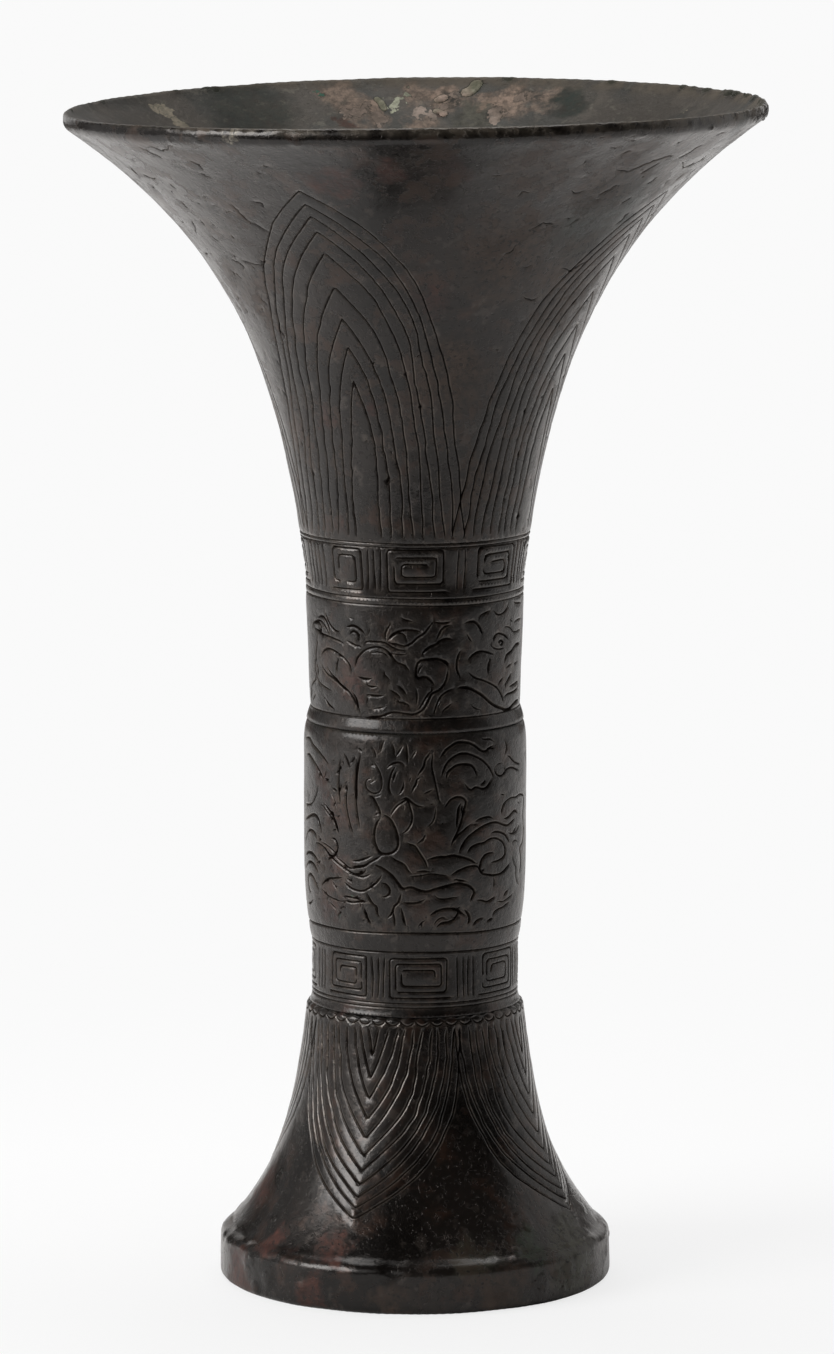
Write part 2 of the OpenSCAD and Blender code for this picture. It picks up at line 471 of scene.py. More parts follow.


# The skin's colours, outside and in the cup; the cut, lip and rim colours also hold painted shade
# and painted highlights.
BLACK_SKIN = (0.0042, 0.0032, 0.0027)
WORN_SKIN = (0.0125, 0.0095, 0.0080)
RED_BROWN = (0.034, 0.0170, 0.0110)
DUSTY = (0.042, 0.034, 0.029)
# Floor of the cuts: darker patina, darkened further as painted shade in the grooves.
CUT_PATINA_AND_SHADE = (0.0045, 0.0028, 0.0020)
# Lips of the cuts: lighter wear, partly a painted highlight.
LIP_RUB_HIGHLIGHT_COLOUR = (0.074, 0.061, 0.050)
PIN_HOLE = (0.006, 0.0040, 0.003)
DARK_LINING = (0.017, 0.017, 0.0145)
BROWN_LINING = (0.029, 0.025, 0.020)
PALE_LINING = (0.056, 0.048, 0.039)
DUSTY_LINING = (0.085, 0.080, 0.062)
CRUST_DARK = (0.150, 0.115, 0.092)
CRUST_LIGHT = (0.330, 0.250, 0.205)
CRUST_GREEN = (0.125, 0.140, 0.092)
CRUST_OUTSIDE = (0.028, 0.021, 0.016)
CRUST_EDGE = (0.018, 0.022, 0.014)
FLAKED_PATINA = (0.030, 0.019, 0.013)
FLAKE_EDGE = (0.007, 0.005, 0.004)
FLAKE_OUTLINE = (0.020, 0.019, 0.014)
# Top edge of the rim: lighter wear, partly a painted highlight.
RIM_WEAR_HIGHLIGHT_COLOUR = (0.110, 0.092, 0.070)
# The colours of its stains.
RED = (0.066, 0.019, 0.012)
GREEN = (0.020, 0.090, 0.060)
OLIVE = (0.050, 0.050, 0.032)
MOSS = (0.020, 0.034, 0.018)
TAN = (0.160, 0.138, 0.100)
PALE = (0.380, 0.340, 0.270)
DARK_GREEN = (0.022, 0.030, 0.026)
PINK = (0.250, 0.185, 0.145)
GREY_GREEN = (0.085, 0.082, 0.064)
FAWN = (0.155, 0.120, 0.098)
LICHEN = (0.175, 0.180, 0.130)
BROWN = (0.044, 0.027, 0.018)
# Stains of old corrosion: (centre in mm), size in mm, colour, strength.
STAINS = (
    ((-16, -16, 98), 5, RED, 0.35), ((-15, -17, 88), 4, RED, 0.35), ((-18, -13, 105), 4, RED, 0.35),
    ((-12, -17, 126), 5, RED, 0.35), ((-16, -58, 229), 7, RED, 0.5), ((6, -63, 231), 6, RED, 0.25),
    ((-28, -24, 12), 6, RED, 0.9), ((-17, -33, 12), 5, RED, 0.8), ((-32, -7, 19), 6, RED, 0.6),
    ((-37, -17, 3), 7, RED, 0.9), ((-22, -34, 4), 5, RED, 0.6), ((-4, -40, 3), 6, BROWN, 0.6),
    ((18, -36, 4), 7, BROWN, 0.8), ((33, -24, 5), 8, OLIVE, 0.8), ((24, -30, 11), 6, MOSS, 0.8),
    ((9, -38, 9), 5, OLIVE, 0.5), ((38, -35, 221), 15, DARK_GREEN, 0.8),
    ((32, -19, 12), 7, OLIVE, 0.8), ((13, -35, 11), 5, OLIVE, 0.4),
    ((-14.5, -17, 77), 0.9, GREEN, 0.9), ((-12.5, -19, 79.5), 0.8, GREEN, 0.6),
    ((-18, -14, 79), 6, RED, 0.35), ((-21, 3, 112), 9, RED, 0.3), ((-13, -17.5, 58.5), 3, RED, 0.3),
    ((-35.5, -61, 241), 1.5, PALE, 0.6), ((-33.5, -62, 241), 1.4, PALE, 0.6),
    ((-32, -63, 241), 1.6, PALE, 0.6), ((-29.5, -64, 241), 1.4, PALE, 0.6),
    ((-27.5, -65, 241), 1.2, PALE, 0.6), ((-16, 65, 238), 6, PINK, 0.7),
    ((-10, 62, 234), 6, PINK, 0.8), ((-19, -12, 84), 6, BROWN, 0.45),
    ((-18, -14, 92), 6, BROWN, 0.45), ((-17, -14, 66), 4, BROWN, 0.6),
    ((-12, -18, 101), 5, BROWN, 0.35), ((0, -22, 104), 5, BROWN, 0.4), ((1, 66, 238), 5, PINK, 0.7),
    ((7, 64, 238), 5, PINK, 0.9), ((12, 61, 234), 5, GREY_GREEN, 0.8),
    ((20, 62, 236), 6.5, PINK, 1), ((14, 64, 236), 4, PINK, 0.7), ((27, 60, 238), 5, PINK, 0.7),
    ((1, 59, 232), 4, PINK, 0.6), ((33, 56, 237), 6, DARK_GREEN, 0.9),
    ((-14, 58.5, 232.5), 2.5, RED, 0.5), ((4.5, 61.5, 234.5), 2, RED, 0.4),
    ((-35, 54, 236), 14, DARK_GREEN, 0.6), ((52, -36, 222), 3, GREEN, 0.35),
    ((66, -26, 236), 6, DARK_GREEN, 0.6), ((10, 34, 20), 8, RED, 0.4),
    ((-25, 45, 222), 12, RED, 0.35), ((30, 40, 221), 14, RED, 0.3), ((22, 3, 88), 9, OLIVE, 0.3),
    ((-6, 22, 100), 8, OLIVE, 0.4), ((20, -45, 212), 16, BROWN, 1), ((8, -34, 188), 12, BROWN, 0.9),
    ((34, -30, 205), 16, BROWN, 0.9), ((14, -24, 165), 9, BROWN, 0.7),
    ((40, -44, 228), 14, BROWN, 0.9), ((24, -58, 232), 12, BROWN, 0.8),
    ((-20, -24, 178), 4, RED, 0.35), ((-8, -30, 182), 3, RED, 0.4), ((-16, -22, 158), 4, RED, 0.3),
    ((4, -40, 205), 5, RED, 0.3), ((-5, -62, 231), 5, RED, 0.5), ((30, -22, 170), 8, OLIVE, 0.3),
    ((44, -30, 215), 7, DARK_GREEN, 0.7), ((-30, -20, 205), 10, BROWN, 0.6),
)

# Flat flakes with a sharp edge: (centre in mm), size in mm, colour.
FLAKES = (
    ((-54, 41.5, 238), 1.7, TAN), ((-53, 41, 236.5), 2.2, TAN), ((-51, 41, 235.5), 2.4, TAN),
    ((-49.5, 40, 234.5), 2.2, TAN), ((-48, 39.5, 233), 1.4, TAN), ((57.5, 32, 237.5), 1.1, TAN),
    ((56.5, 33, 237), 0.9, TAN), ((-19.5, 63.5, 237.5), 0.9, GREEN),
    ((-12, 62, 234), 3.4, FAWN), ((-8.5, 61, 233), 2.6, FAWN), ((-6.5, 64.5, 236), 1.3, LICHEN),
    ((-1, 66, 237.5), 1.6, LICHEN), ((-2.5, 64, 235.5), 1.4, LICHEN), ((5, 64.5, 236), 1.5, FAWN),
    ((2, 62, 233.5), 1.8, FAWN), ((9, 65, 237), 1.2, FAWN), ((17, 60, 234), 2.2, FAWN),
    ((24, 61, 236.5), 1.6, FAWN),
)


def patinated_bronze():
    """Blackened, waxed bronze: a dark skin, with darker patina and painted shade in the cuts, and
    wear with a painted highlight at their lips and on the rim.
    """
    material = bpy.data.materials.new("patinated bronze")
    material.use_nodes = True
    material.node_tree.nodes.clear()
    g = Graph(material.node_tree)
    here = coordinates(g)

    def noise_at(scale, detail, roughness=0.55):
        return g.node("ShaderNodeTexNoise", {},
                      {"Vector": here, "Scale": scale, "Detail": detail,
                       "Roughness": roughness})[0]

    def attribute(name):
        return g.node("ShaderNodeAttribute", {"attribute_name": name})["Fac"]

    cut = attribute("cut").above(0.02, 0.24)
    lip = attribute("lip")
    crust = attribute("crust")
    inside = attribute("inside")
    broad = noise_at(45.0, 4.0)
    mottle = noise_at(150.0, 5.0, 0.65)
    fine = noise_at(620.0, 4.0, 0.6)
    colour = g.mix(broad.above(0.38, 0.66), BLACK_SKIN, WORN_SKIN)
    colour = g.mix(mottle.above(0.5, 0.68) * 0.75, colour, RED_BROWN)
    colour = g.mix(noise_at(330.0, 3.0).above(0.58, 0.7) * 0.6, colour, DUSTY)
    lining = g.mix(noise_at(60.0, 3.0).above(0.42, 0.58), DARK_LINING, BROWN_LINING)
    lining = g.mix(mottle.above(0.5, 0.62) * 0.5, lining, PALE_LINING)
    lining = g.mix(noise_at(420.0, 4.0, 0.7).above(0.56, 0.66) * 0.4, lining, DUSTY_LINING)
    colour = g.mix(inside, colour, lining)
    ragged = g.node("ShaderNodeTexNoise", {},
                    {"Vector": here, "Scale": 170.0, "Detail": 4.0, "Roughness": 0.6})[1]
    warped = g.vector("ADD", here, g.vector(
        "MULTIPLY", g.vector("SUBTRACT", ragged, (0.5, 0.5, 0.5)), (0.014, 0.014, 0.014)))
    # Crusts are dull and carry no wax.
    scabby = crust.above(0.0, 0.9) * mottle.above(0.38, 0.62)
    dulled = scabby * 0.4
    patchy = (mottle.above(0.32, 0.6) + noise_at(520.0, 5.0, 0.75).above(0.4, 0.62)) * 0.55
    for (x, y, z), size, stain, strength in STAINS:
        away = g.node("ShaderNodeVectorMath", {"operation": "DISTANCE"},
                      {0: warped, 1: (x * MM, y * MM, z * MM)})["Value"]
        mask = (1.0 - away.above(size * 0.45 * MM, size * MM)) * strength
        colour = g.mix(mask * patchy, colour, stain)
        dulled = dulled + mask * 0.3
    for (x, y, z), size, stain in FLAKES:
        away = g.node("ShaderNodeVectorMath", {"operation": "DISTANCE"},
                      {0: warped, 1: (x * MM, y * MM, z * MM)})["Value"]
        flake = 1.0 - away.above(size * 0.94 * MM, size * MM)
        outline = (1.0 - away.above(size * MM, (size + 0.3) * MM)) * 0.8
        colour = g.mix(outline, colour, FLAKE_OUTLINE)
        colour = g.mix(flake * (0.6 + fine.above(0.4, 0.6) * 0.4), colour, stain)
    height_here = g.node("ShaderNodeSeparateXYZ", {}, {0: here})[2]
    # The patina has flaked high on the flare and close to the ground.
    weathered = noise_at(30.0, 3.0).above(0.42, 0.56) * height_here.above(0.135, 0.205)
    low_down = 1.0 - height_here.above(0.008, 0.018)
    weathered = weathered + low_down * noise_at(38.0, 2.0).above(0.5, 0.6)
    weathered = weathered * (1.0 - inside)
    flaked = noise_at(150.0, 8.0, 0.66).above(0.525, 0.545)
    flaked_line = flaked * (1.0 - flaked) * 4.0 * weathered
    colour = g.mix(flaked * weathered * 0.35, colour, FLAKED_PATINA)
    colour = g.mix(flaked_line * 0.6, colour, FLAKE_EDGE)
    # The rim's top edge is painted lighter: partly wear, partly a painted highlight.
    rim_wear_and_highlight = height_here.above(0.2385, 0.2405) * mottle.above(0.36, 0.56)
    colour = g.mix(rim_wear_and_highlight * 0.5, colour, RIM_WEAR_HIGHLIGHT_COLOUR)
    edge = crust.above(0.05, 0.3) * (1.0 - crust.above(0.5, 0.8)) * inside
    colour = g.mix(edge * 0.6, colour, CRUST_EDGE)
    scale_colour = g.mix(fine.above(0.35, 0.65), CRUST_DARK, CRUST_LIGHT)
    scale_colour = g.mix(broad.above(0.44, 0.54) * 0.7, scale_colour, CRUST_GREEN)
    scale_colour = g.mix(inside, CRUST_OUTSIDE, scale_colour)
    colour = g.mix(crust.above(0.45, 0.8) * 0.8, colour, scale_colour)
    # The cuts are painted near-black: partly their darker patina, partly painted shade.
    colour = g.mix(cut * 0.95, colour, CUT_PATINA_AND_SHADE)
    # The cuts' lips are painted lighter: partly wear, partly a painted highlight.
    rub_and_highlight = lip * mottle.above(0.38, 0.58)
    colour = g.mix(rub_and_highlight * 0.62, colour, LIP_RUB_HIGHLIGHT_COLOUR)
    holes = noise_at(1100.0, 2.0, 0.4).above(0.6, 0.66) * broad.above(0.36, 0.55)
    holes = holes * (1.0 - inside * 0.8)
    colour = g.mix(holes * 0.8, colour, PIN_HOLE)
    rough = 0.16 + mottle * 0.2 + broad.above(0.35, 0.7) * 0.07 + cut * 0.3
    rough = rough + inside * 0.26 + dulled - rub_and_highlight * 0.05 + rim_wear_and_highlight * 0.2
    rough = rough + flaked * weathered * 0.12
    # The bands' ground has been hammered with small punches.
    chased = height_here.above(0.056, 0.060) * (1.0 - height_here.above(0.138, 0.144))
    hammered = noise_at(360.0, 5.0, 0.7) * (chased * 1.2 + 0.25)
    rough = rough + chased * 0.09
    height = fine * 0.34 + mottle * 0.8 + hammered + holes * -0.3 + edge * -0.5
    height = height - flaked * weathered * 0.8
    bump = g.node("ShaderNodeBump", {},
                  {"Strength": 0.8, "Distance": 0.00036, "Height": height})[0]
    shader = g.node("ShaderNodeBsdfPrincipled", {},
                    {"Base Color": colour, "Metallic": cut * 0.5 + 0.45,
                     "Roughness": rough.clamped(), "IOR": 1.43,
                     "Specular Tint": (1.0, 0.94, 0.89), "Normal": bump,
                     "Coat Weight": (1.0 - cut) * (1.0 - inside) * (1.0 - scabby) * 0.34,
                     "Coat Roughness": 0.2})[0]
    g.node("ShaderNodeOutputMaterial", {}, {0: shader})
    return material


bronze = patinated_bronze()

FOOT_RING_R = 40.1
FOOT_RING_H = 7.9
COLLAR_R = 22.3
SOCKET_R = 20.1
THROAT_R = 17.0
FOOT_WALL = 2.8
FOOT_EDGE_R = 1.4
HOLLOW_R = 37.3
HOLLOW_Z = 6.3
THROAT_Z = 47.2
SOCKET_Z = 50.0
COLLAR_TOP = 57.3

foot_sweep = [(37.9, 10.8)] + bezier(
    (37.9, 10.8), (27.9, 22.9), (24.4, 34.5), (22.8, 50.0), 34)
foot_shoulder = bezier(
    (FOOT_RING_R, FOOT_RING_H), (FOOT_RING_R, 9.2), (39.2, 10.1), (37.9, 10.8), 8)


def inset(points, wall):
    """The points moved inwards by a wall's thickness."""
    moved = []
    for i, (x, z) in enumerate(points):
        ax, az = points[max(i - 1, 0)]
        bx, bz = points[min(i + 1, len(points) - 1)]
        size = math.hypot(bx - ax, bz - az)
        moved.append((x - wall * (bz - az) / size, z + wall * (bx - ax) / size))
    return moved


foot_hollow = [p for p in inset(foot_sweep, FOOT_WALL) if p[1] < THROAT_Z and p[0] > THROAT_R]
foot_profile = Profile(
    [(HOLLOW_R, 0.0)],
    arc(FOOT_RING_R - FOOT_EDGE_R, FOOT_EDGE_R, FOOT_EDGE_R, -90, 0, 6)
    + [(FOOT_RING_R, 4.0), (FOOT_RING_R, FOOT_RING_H)]
    + foot_shoulder + foot_sweep[1:]
    + arc(COLLAR_R - FOOT_EDGE_R, 56.1, FOOT_EDGE_R, 0, 60, 8),
    [(SOCKET_R, COLLAR_TOP), (SOCKET_R, SOCKET_Z), (THROAT_R, SOCKET_Z), (THROAT_R, THROAT_Z)]
    + foot_hollow[::-1] + [(HOLLOW_R, HOLLOW_Z)])


LEAF_STEPS = 48
# How a leaf line wanders: reach in mm, wave length in mm, seed's factor.
LEAF_WANDER = ((0.4, 10.0, 3), (0.17, 2.2, 5))


def leaf_line(profile, centre, base_z, tip_z, half_width, spread, seed, width, depth):
    """One nested leaf line: up one side, over the pointed tip and down the other side."""
    base = float(profile.length_at(base_z))
    tip = float(profile.length_at(tip_z))
    span = abs(tip - base)
    sides = []
    for side in (-1, 1):
        path = []
        for i in range(LEAF_STEPS + 1):
            away = span * (1 - i / LEAF_STEPS) ** 1.5
            length = tip + (base - tip) * away / span
            reach = half_width * math.tanh(away / spread)
            for size, wave_length, factor in LEAF_WANDER:
                wander = size * waver(seed + side * factor, away, wave_length)
                reach += wander * min(1.0, away / 12)
            radius = float(profile.radius_at(length))
            path.append((centre + side * math.degrees(max(reach, 0.0) / radius), length))
        sides.append(path)
    path = sides[0] + sides[1][::-1][1:]
    return Stroke([p[0] for p in path], [p[1] for p in path], width, depth)


LEAF_TURN = -22.0
FOOT_LEAF_TIPS = (17.6, 19.6, 21.6, 24.0, 26.6, 29.6, 33.0, 36.8, 40.8, 45.0, 49.4)
foot_strokes = []
for leaf in range(4):
    for n, tip_z in enumerate(FOOT_LEAF_TIPS):
        half_width = 18.6 - 1.66 * n
        foot_strokes.append(leaf_line(
            foot_profile, LEAF_TURN + 90 * leaf, 55.4, tip_z - (2.0 if leaf == 1 else 0),
            half_width, 8.8 + 0.28 * half_width, 11 * leaf + n, 0.58, 0.42))

LAPPETS = 46
for n in range(LAPPETS):
    middle = 360 * n / LAPPETS - 180 + 3.9
    half = 180 / LAPPETS
    sweep = [math.pi * i / 14 for i in range(15)]
    foot_strokes.append(Stroke(
        [middle - half * 0.93 * math.cos(a) for a in sweep],
        [float(foot_profile.length_at(56.9)) - 1.25 * math.sin(a) for a in sweep],
        0.55, 0.42, 0.3))


def ring(profile, z, width, depth, wobble=0.0, seed=1):
    """A line cut right round the casting."""
    angles = np.linspace(-180, 180, 241)
    turn = np.radians(angles)
    drift = (np.sin(turn + seed) * 0.6 + np.sin(2 * turn + seed * 2.1) * 0.4
             + np.sin(5 * turn + seed) * 0.15) * wobble
    return Stroke(angles, profile.length_at(z + drift), width, depth, ring=True)


def freehand(profile, lines, width, depth, turns=(0, 180)):
    """Lines cut by hand through (angle, height) points, repeated round the casting."""
    strokes = []
    for n, line in enumerate(lines):
        path = smooth_path(line)
        heavy = 1.0 + 0.22 * waver(n * 0.37, 3.1, 1.0)
        lengths = profile.length_at(np.array([z for _, z in path]))
        for turn in turns:
            strokes.append(Stroke(np.array([a for a, _ in path]) + turn, lengths,
                                  width * heavy, depth * heavy))
    return strokes


RIDGE = 0.8
RIDGE_HALF_WIDTH = 19.0
RIDGE_LOW, RIDGE_HIGH = 17.0, 56.0


def foot_rise(angle, z, length):
    """Each leaf stands up to a ridge along its middle."""
    if length > foot_profile.lengths[foot_profile.outer.stop - 1] or z < RIDGE_LOW - 3:
        return 0.0
    offset = (angle - LEAF_TURN + 45) % 90 - 45
    across = abs(math.radians(offset)) * float(foot_profile.radius_at(length))
    above_tip = max(0.0, length - float(foot_profile.length_at(RIDGE_LOW)))
    half = RIDGE_HALF_WIDTH * math.tanh(above_tip / 14)
    fade = min(max((RIDGE_HIGH - z) / 12, 0), 1)
    return RIDGE * max(0.0, 1 - across / (half + 0.01)) * fade


def row_lengths(profile, steps):
    """Rows of the sheet: every outline point, and between them steps outside and inside."""
    rows = [0.0]
    for a, b in zip(profile.lengths, profile.lengths[1:]):
        middle = (a + b) / 2
        outside = middle < profile.lengths[profile.outer.stop - 1]
        count = max(1, int(math.ceil((b - a) / steps[0 if outside else 1])))
        rows += [a + (b - a) * i / count for i in range(1, count + 1)]
    return rows


# Old crusts on the ring and its shoulder: (degrees, length, size, thickness, tone), in
# groups of (middle in degrees, spread, number).
CRUST_GROUPS = ((52, 13, 34), (-50, 9, 8), (140, 30, 24), (-120, 25, 14))
foot_lumps = []
scab = random.Random(3)
for middle, reach, count in CRUST_GROUPS:
    for n in range(count):
        z = scab.uniform(1.5, 17.0)
        foot_lumps.append((scab.gauss(middle, reach), float(foot_profile.length_at(z)),
                           scab.uniform(0.8, 2.4), scab.uniform(0.08, 0.22), 0.3))

# Shallow knocks on the ring and its shoulder.
KNOCKS = 30
for n in range(KNOCKS):
    foot_lumps.append((scab.uniform(-175, 175), float(foot_profile.length_at(scab.uniform(5, 12))),
                       scab.uniform(2.4, 5.2), -scab.uniform(0.08, 0.24), 0.0))

COLUMNS = 150
foot_sheet = engraved_sheet(
    "splayed_foot_casting", foot_profile, foot_strokes,
    rows=row_lengths(foot_profile, (1.3, 4.0)), columns=COLUMNS, spacing=0.8,
    rise=foot_rise, lumps=foot_lumps)
SKIN = {"Cut depth": 1.0, "Unevenness": 0.42 * MM, "Rim wave": 0.0,
        "Rim wave start": 0.19, "Rim wave end": 0.24, "Skin": bronze}
turned_piece("splayed_foot_casting", foot_profile, foot_sheet, SKIN,
             "splayed_foot")

# The waist casting
# A bronze sleeve with a fret band below and a swelling drum above. Its spigot is
# soldered into the foot and its top takes the trumpet's spigot.

WAIST_R = 21.15
DRUM_R = 22.7
DRUM_LOW, DRUM_HIGH = 69.6, 109.4
BORE_R = 19.0
CHAMBER_R = 20.0
CHAMBER_LOW, CHAMBER_HIGH = 73.6, 104.0
LOWER_SPIGOT_R = 19.9
LOWER_SPIGOT_Z = 50.4
LOWER_SEAM_Z = 57.35
LEDGE_Z = 59.8
UPPER_SOCKET_R = 20.6
UPPER_SOCKET_Z = 108.0
UPPER_SEAM_R = 21.95
UPPER_SEAM_Z = 115.4

waist_profile = Profile(
    [(LOWER_SPIGOT_R, LOWER_SPIGOT_Z), (LOWER_SPIGOT_R, LOWER_SEAM_Z)],
    [(21.58, LOWER_SEAM_Z)]
    + bezier((21.58, LOWER_SEAM_Z), (21.3, 57.7), (WAIST_R, 58.3), (WAIST_R, 59.0), 5)
    + [(WAIST_R, DRUM_LOW)]
    + bezier((WAIST_R, DRUM_LOW), (22.08, 74.6), (DRUM_R, 79.5), (DRUM_R, 95.6), 16)
    + [(DRUM_R, 101.0), (DRUM_R, DRUM_HIGH)]
    + bezier((DRUM_R, DRUM_HIGH), (DRUM_R, 112.0), (22.6, 114.3), (UPPER_SEAM_R, UPPER_SEAM_Z), 10),
    [(UPPER_SOCKET_R, UPPER_SEAM_Z), (UPPER_SOCKET_R, UPPER_SOCKET_Z), (BORE_R, UPPER_SOCKET_Z),
     (BORE_R, CHAMBER_HIGH), (CHAMBER_R, CHAMBER_HIGH - 2.0), (CHAMBER_R, CHAMBER_LOW + 2.0),
     (BORE_R, CHAMBER_LOW), (BORE_R, LEDGE_Z), (THROAT_R, LEDGE_Z), (THROAT_R, LOWER_SPIGOT_Z)])


CORNER_CUT = 0.38
BAR_STEP = 3.9


def fret_unit(profile, left, right, low, high, pitch, seed, width, depth):
    """One squared spiral of a fret band, its corners rounded by the cutting tool."""
    rng = random.Random(seed)
    step = math.degrees(pitch / float(profile.radius_at(profile.length_at((low + high) / 2))))
    x0, x1, z0, z1 = left, right, low, high
    corners = [(x0, z0)]
    while x1 - x0 > 2 * step and z1 - z0 > 0.8 * pitch:
        corners += [(x1, z0), (x1, z1), (x0 + step, z1), (x0 + step, z0 + pitch)]
        x0, x1, z0, z1 = x0 + step, x1 - step, z0 + pitch, z1 - pitch
    if seed % 2:
        corners = [(left + right - x, z) for x, z in corners]
    path = [corners[0]]
    for a, b, c in zip(corners, corners[1:], corners[2:]):
        for near, far in ((a, b), (b, c)):
            size = math.hypot((far[0] - near[0]) / step * pitch, far[1] - near[1])
            cut = CORNER_CUT / size
            share = 1 - cut if near is a else cut
            path.append((near[0] + (far[0] - near[0]) * share,
                         near[1] + (far[1] - near[1]) * share))
    path.append(corners[-1])
    long_path = []
    for a, b in zip(path, path[1:]):
        long_path += [(a[0] + (b[0] - a[0]) * i / 6, a[1] + (b[1] - a[1]) * i / 6)
                      for i in range(6)]
    drifted = [(x + step / pitch * 0.14 * waver(seed, i, 13.0),
                z + 0.12 * waver(seed + 50, i, 17.0)) for i, (x, z) in enumerate(long_path)]
    strokes = []
    start = 0
    while start < len(drifted) - 8:
        end = min(len(drifted), start + rng.randint(34, 70))
        part = drifted[start:end]
        strokes.append(Stroke([x for x, _ in part],
                              profile.length_at(np.array([z for _, z in part])),
                              width * rng.uniform(0.85, 1.15), depth, 0.5))
        start = end - 1 + rng.randint(0, 1)
    return strokes


def fret_band(profile, units, low, high, pitch, seed):
    """Squared spirals round the casting, (middle, half width), with bars filling the gaps."""
    strokes = []
    for n, (middle, half) in enumerate(units):
        rng = random.Random(seed + n)
        strokes += fret_unit(profile, middle - half, middle + half, low, high, pitch,
                             seed + n, 0.56, 0.42)
        after, after_half = units[(n + 1) % len(units)]
        start = middle + half
        gap = (after - after_half - start) % 360
        bars = max(1, int(gap / BAR_STEP))
        for i in range(1, bars + 1):
            spot = start + gap * i / (bars + 1)
            ends = [spot + rng.uniform(-0.6, 0.6) for _ in range(3)]
            strokes.append(Stroke(
                ends, profile.length_at(np.array([low - 0.3, (low + high) / 2, high + 0.3])),
                0.5, 0.36, 0.6))
    return strokes


def pit_marks(profile, seed, count, low, high, centre, spread, size=1.0, lean=0.6):
    """Short pits and dashes that corrosion has left, thicker about one side."""
    rng = random.Random(seed)
    marks = []
    for n in range(count):
        angle = rng.gauss(centre, spread)
        z = rng.uniform(low, high)
        tilt = rng.gauss(lean, 0.6)
        span = rng.uniform(0.2, 1.3) * rng.uniform(0.4, 1.0) * size
        radius = float(profile.radius_at(profile.length_at(z)))
        reach = np.array([-span, 0, span])
        bend = np.array([0, rng.uniform(-0.3, 0.3), 0])
        marks.append(Stroke(
            angle + np.degrees((reach * math.cos(tilt) - bend * math.sin(tilt)) / radius),
            profile.length_at(z) + reach * math.sin(tilt) + bend * math.cos(tilt),
            rng.uniform(0.4, 0.85) * size, rng.uniform(0.2, 0.42), 0.5))
    return marks


# The drum's carved lines, each a run of (degrees round from the front, height in mm).
FLOWER = (
    ((-18, 111.5), (-17.5, 113), (-16, 114.3)),
    ((-23, 113), (-21, 111.5), (-20, 110.3)),
    ((-12, 113.8), (-11, 112.5), (-10.3, 111)),
    ((-10, 110.8), (-8, 112.2), (-6, 113.4)),
    ((-4.5, 114), (-4.2, 112), (-3.6, 109.3)),
    ((-2.3, 110.3), (-0.5, 111.6), (1, 112.5)),
    ((-22, 110), (-20, 108.8), (-18, 107.3), (-17.2, 106), (-17.5, 104.5), (-19, 103.5),
     (-22, 103.3), (-25, 103.9), (-26.3, 105), (-25.5, 106), (-22, 106.4)),
    ((-24, 105.1), (-22, 105.8), (-20, 106.1)),
    ((-17, 103.2), (-20, 102.7), (-23, 102.8)),
    ((-25, 102.9), (-22, 102.3), (-20, 101), (-18.5, 99.8), (-17.3, 98.3)),
    ((-17, 99.1), (-15, 98.8), (-12.5, 98), (-10.5, 96.6), (-9, 94.8), (-8.7, 93), (-10, 91.9),
     (-12, 91.3), (-15, 91), (-18, 91.2), (-20, 92.2), (-21.3, 93.8), (-21.3, 95.8),
     (-20, 97.3), (-17.8, 98.5)),
    ((-9.5, 109.4), (-12, 107.7), (-13.3, 106), (-13.5, 104.5), (-12.5, 103.4), (-10.5, 102.9)),
    ((-15, 108.3), (-12.5, 109.3), (-9, 109.8), (-6, 109.5), (-5, 108.8)),
    ((-9, 108.4), (-10.5, 107.2), (-11.5, 105.5)),
    ((-9, 103), (-7.2, 103.8), (-6, 105), (-5.7, 106.3)),
    ((-2, 103.4), (-1, 104.5), (0.5, 105.5), (1, 106.3), (3.5, 107)),
    ((1, 106.9), (2.5, 107.8), (4.5, 109), (5.2, 110.3), (7, 111.3), (8.4, 112.4)),
    ((-2.2, 107), (-2.8, 105.7)),
    ((9, 112.2), (9, 111), (8.6, 109), (10, 106.5), (11.3, 104), (12.5, 102), (14.3, 101.3)),
    ((4, 103.4), (7, 103.8), (9.5, 104.4)),
    ((-12.5, 98.6), (-11.5, 99.8), (-9, 101), (-6, 101.8), (-4, 102.2), (-3, 101.3),
     (-1.7, 99.5), (-1.5, 98.2), (-2.7, 96.8), (-5, 95.7), (-7.5, 95.2)),
    ((-8, 102), (-4.5, 102.6), (-2, 101.8), (1, 101), (3.5, 100.8), (5.5, 100.8)),
    ((10.8, 101), (10.5, 99.5), (9.5, 98), (7.5, 97), (5.5, 96.4)),
    ((5.5, 95.5), (4.5, 94.3), (2.5, 93.6), (0.5, 93.2)),
    ((-4.7, 93.7), (-2.5, 93.1), (0, 92.7), (2, 91.5), (4, 90.3), (5.5, 89.3), (6.5, 88)),
    ((-29, 111.5), (-30.8, 108), (-31.4, 104.5), (-31, 101.5)),
)
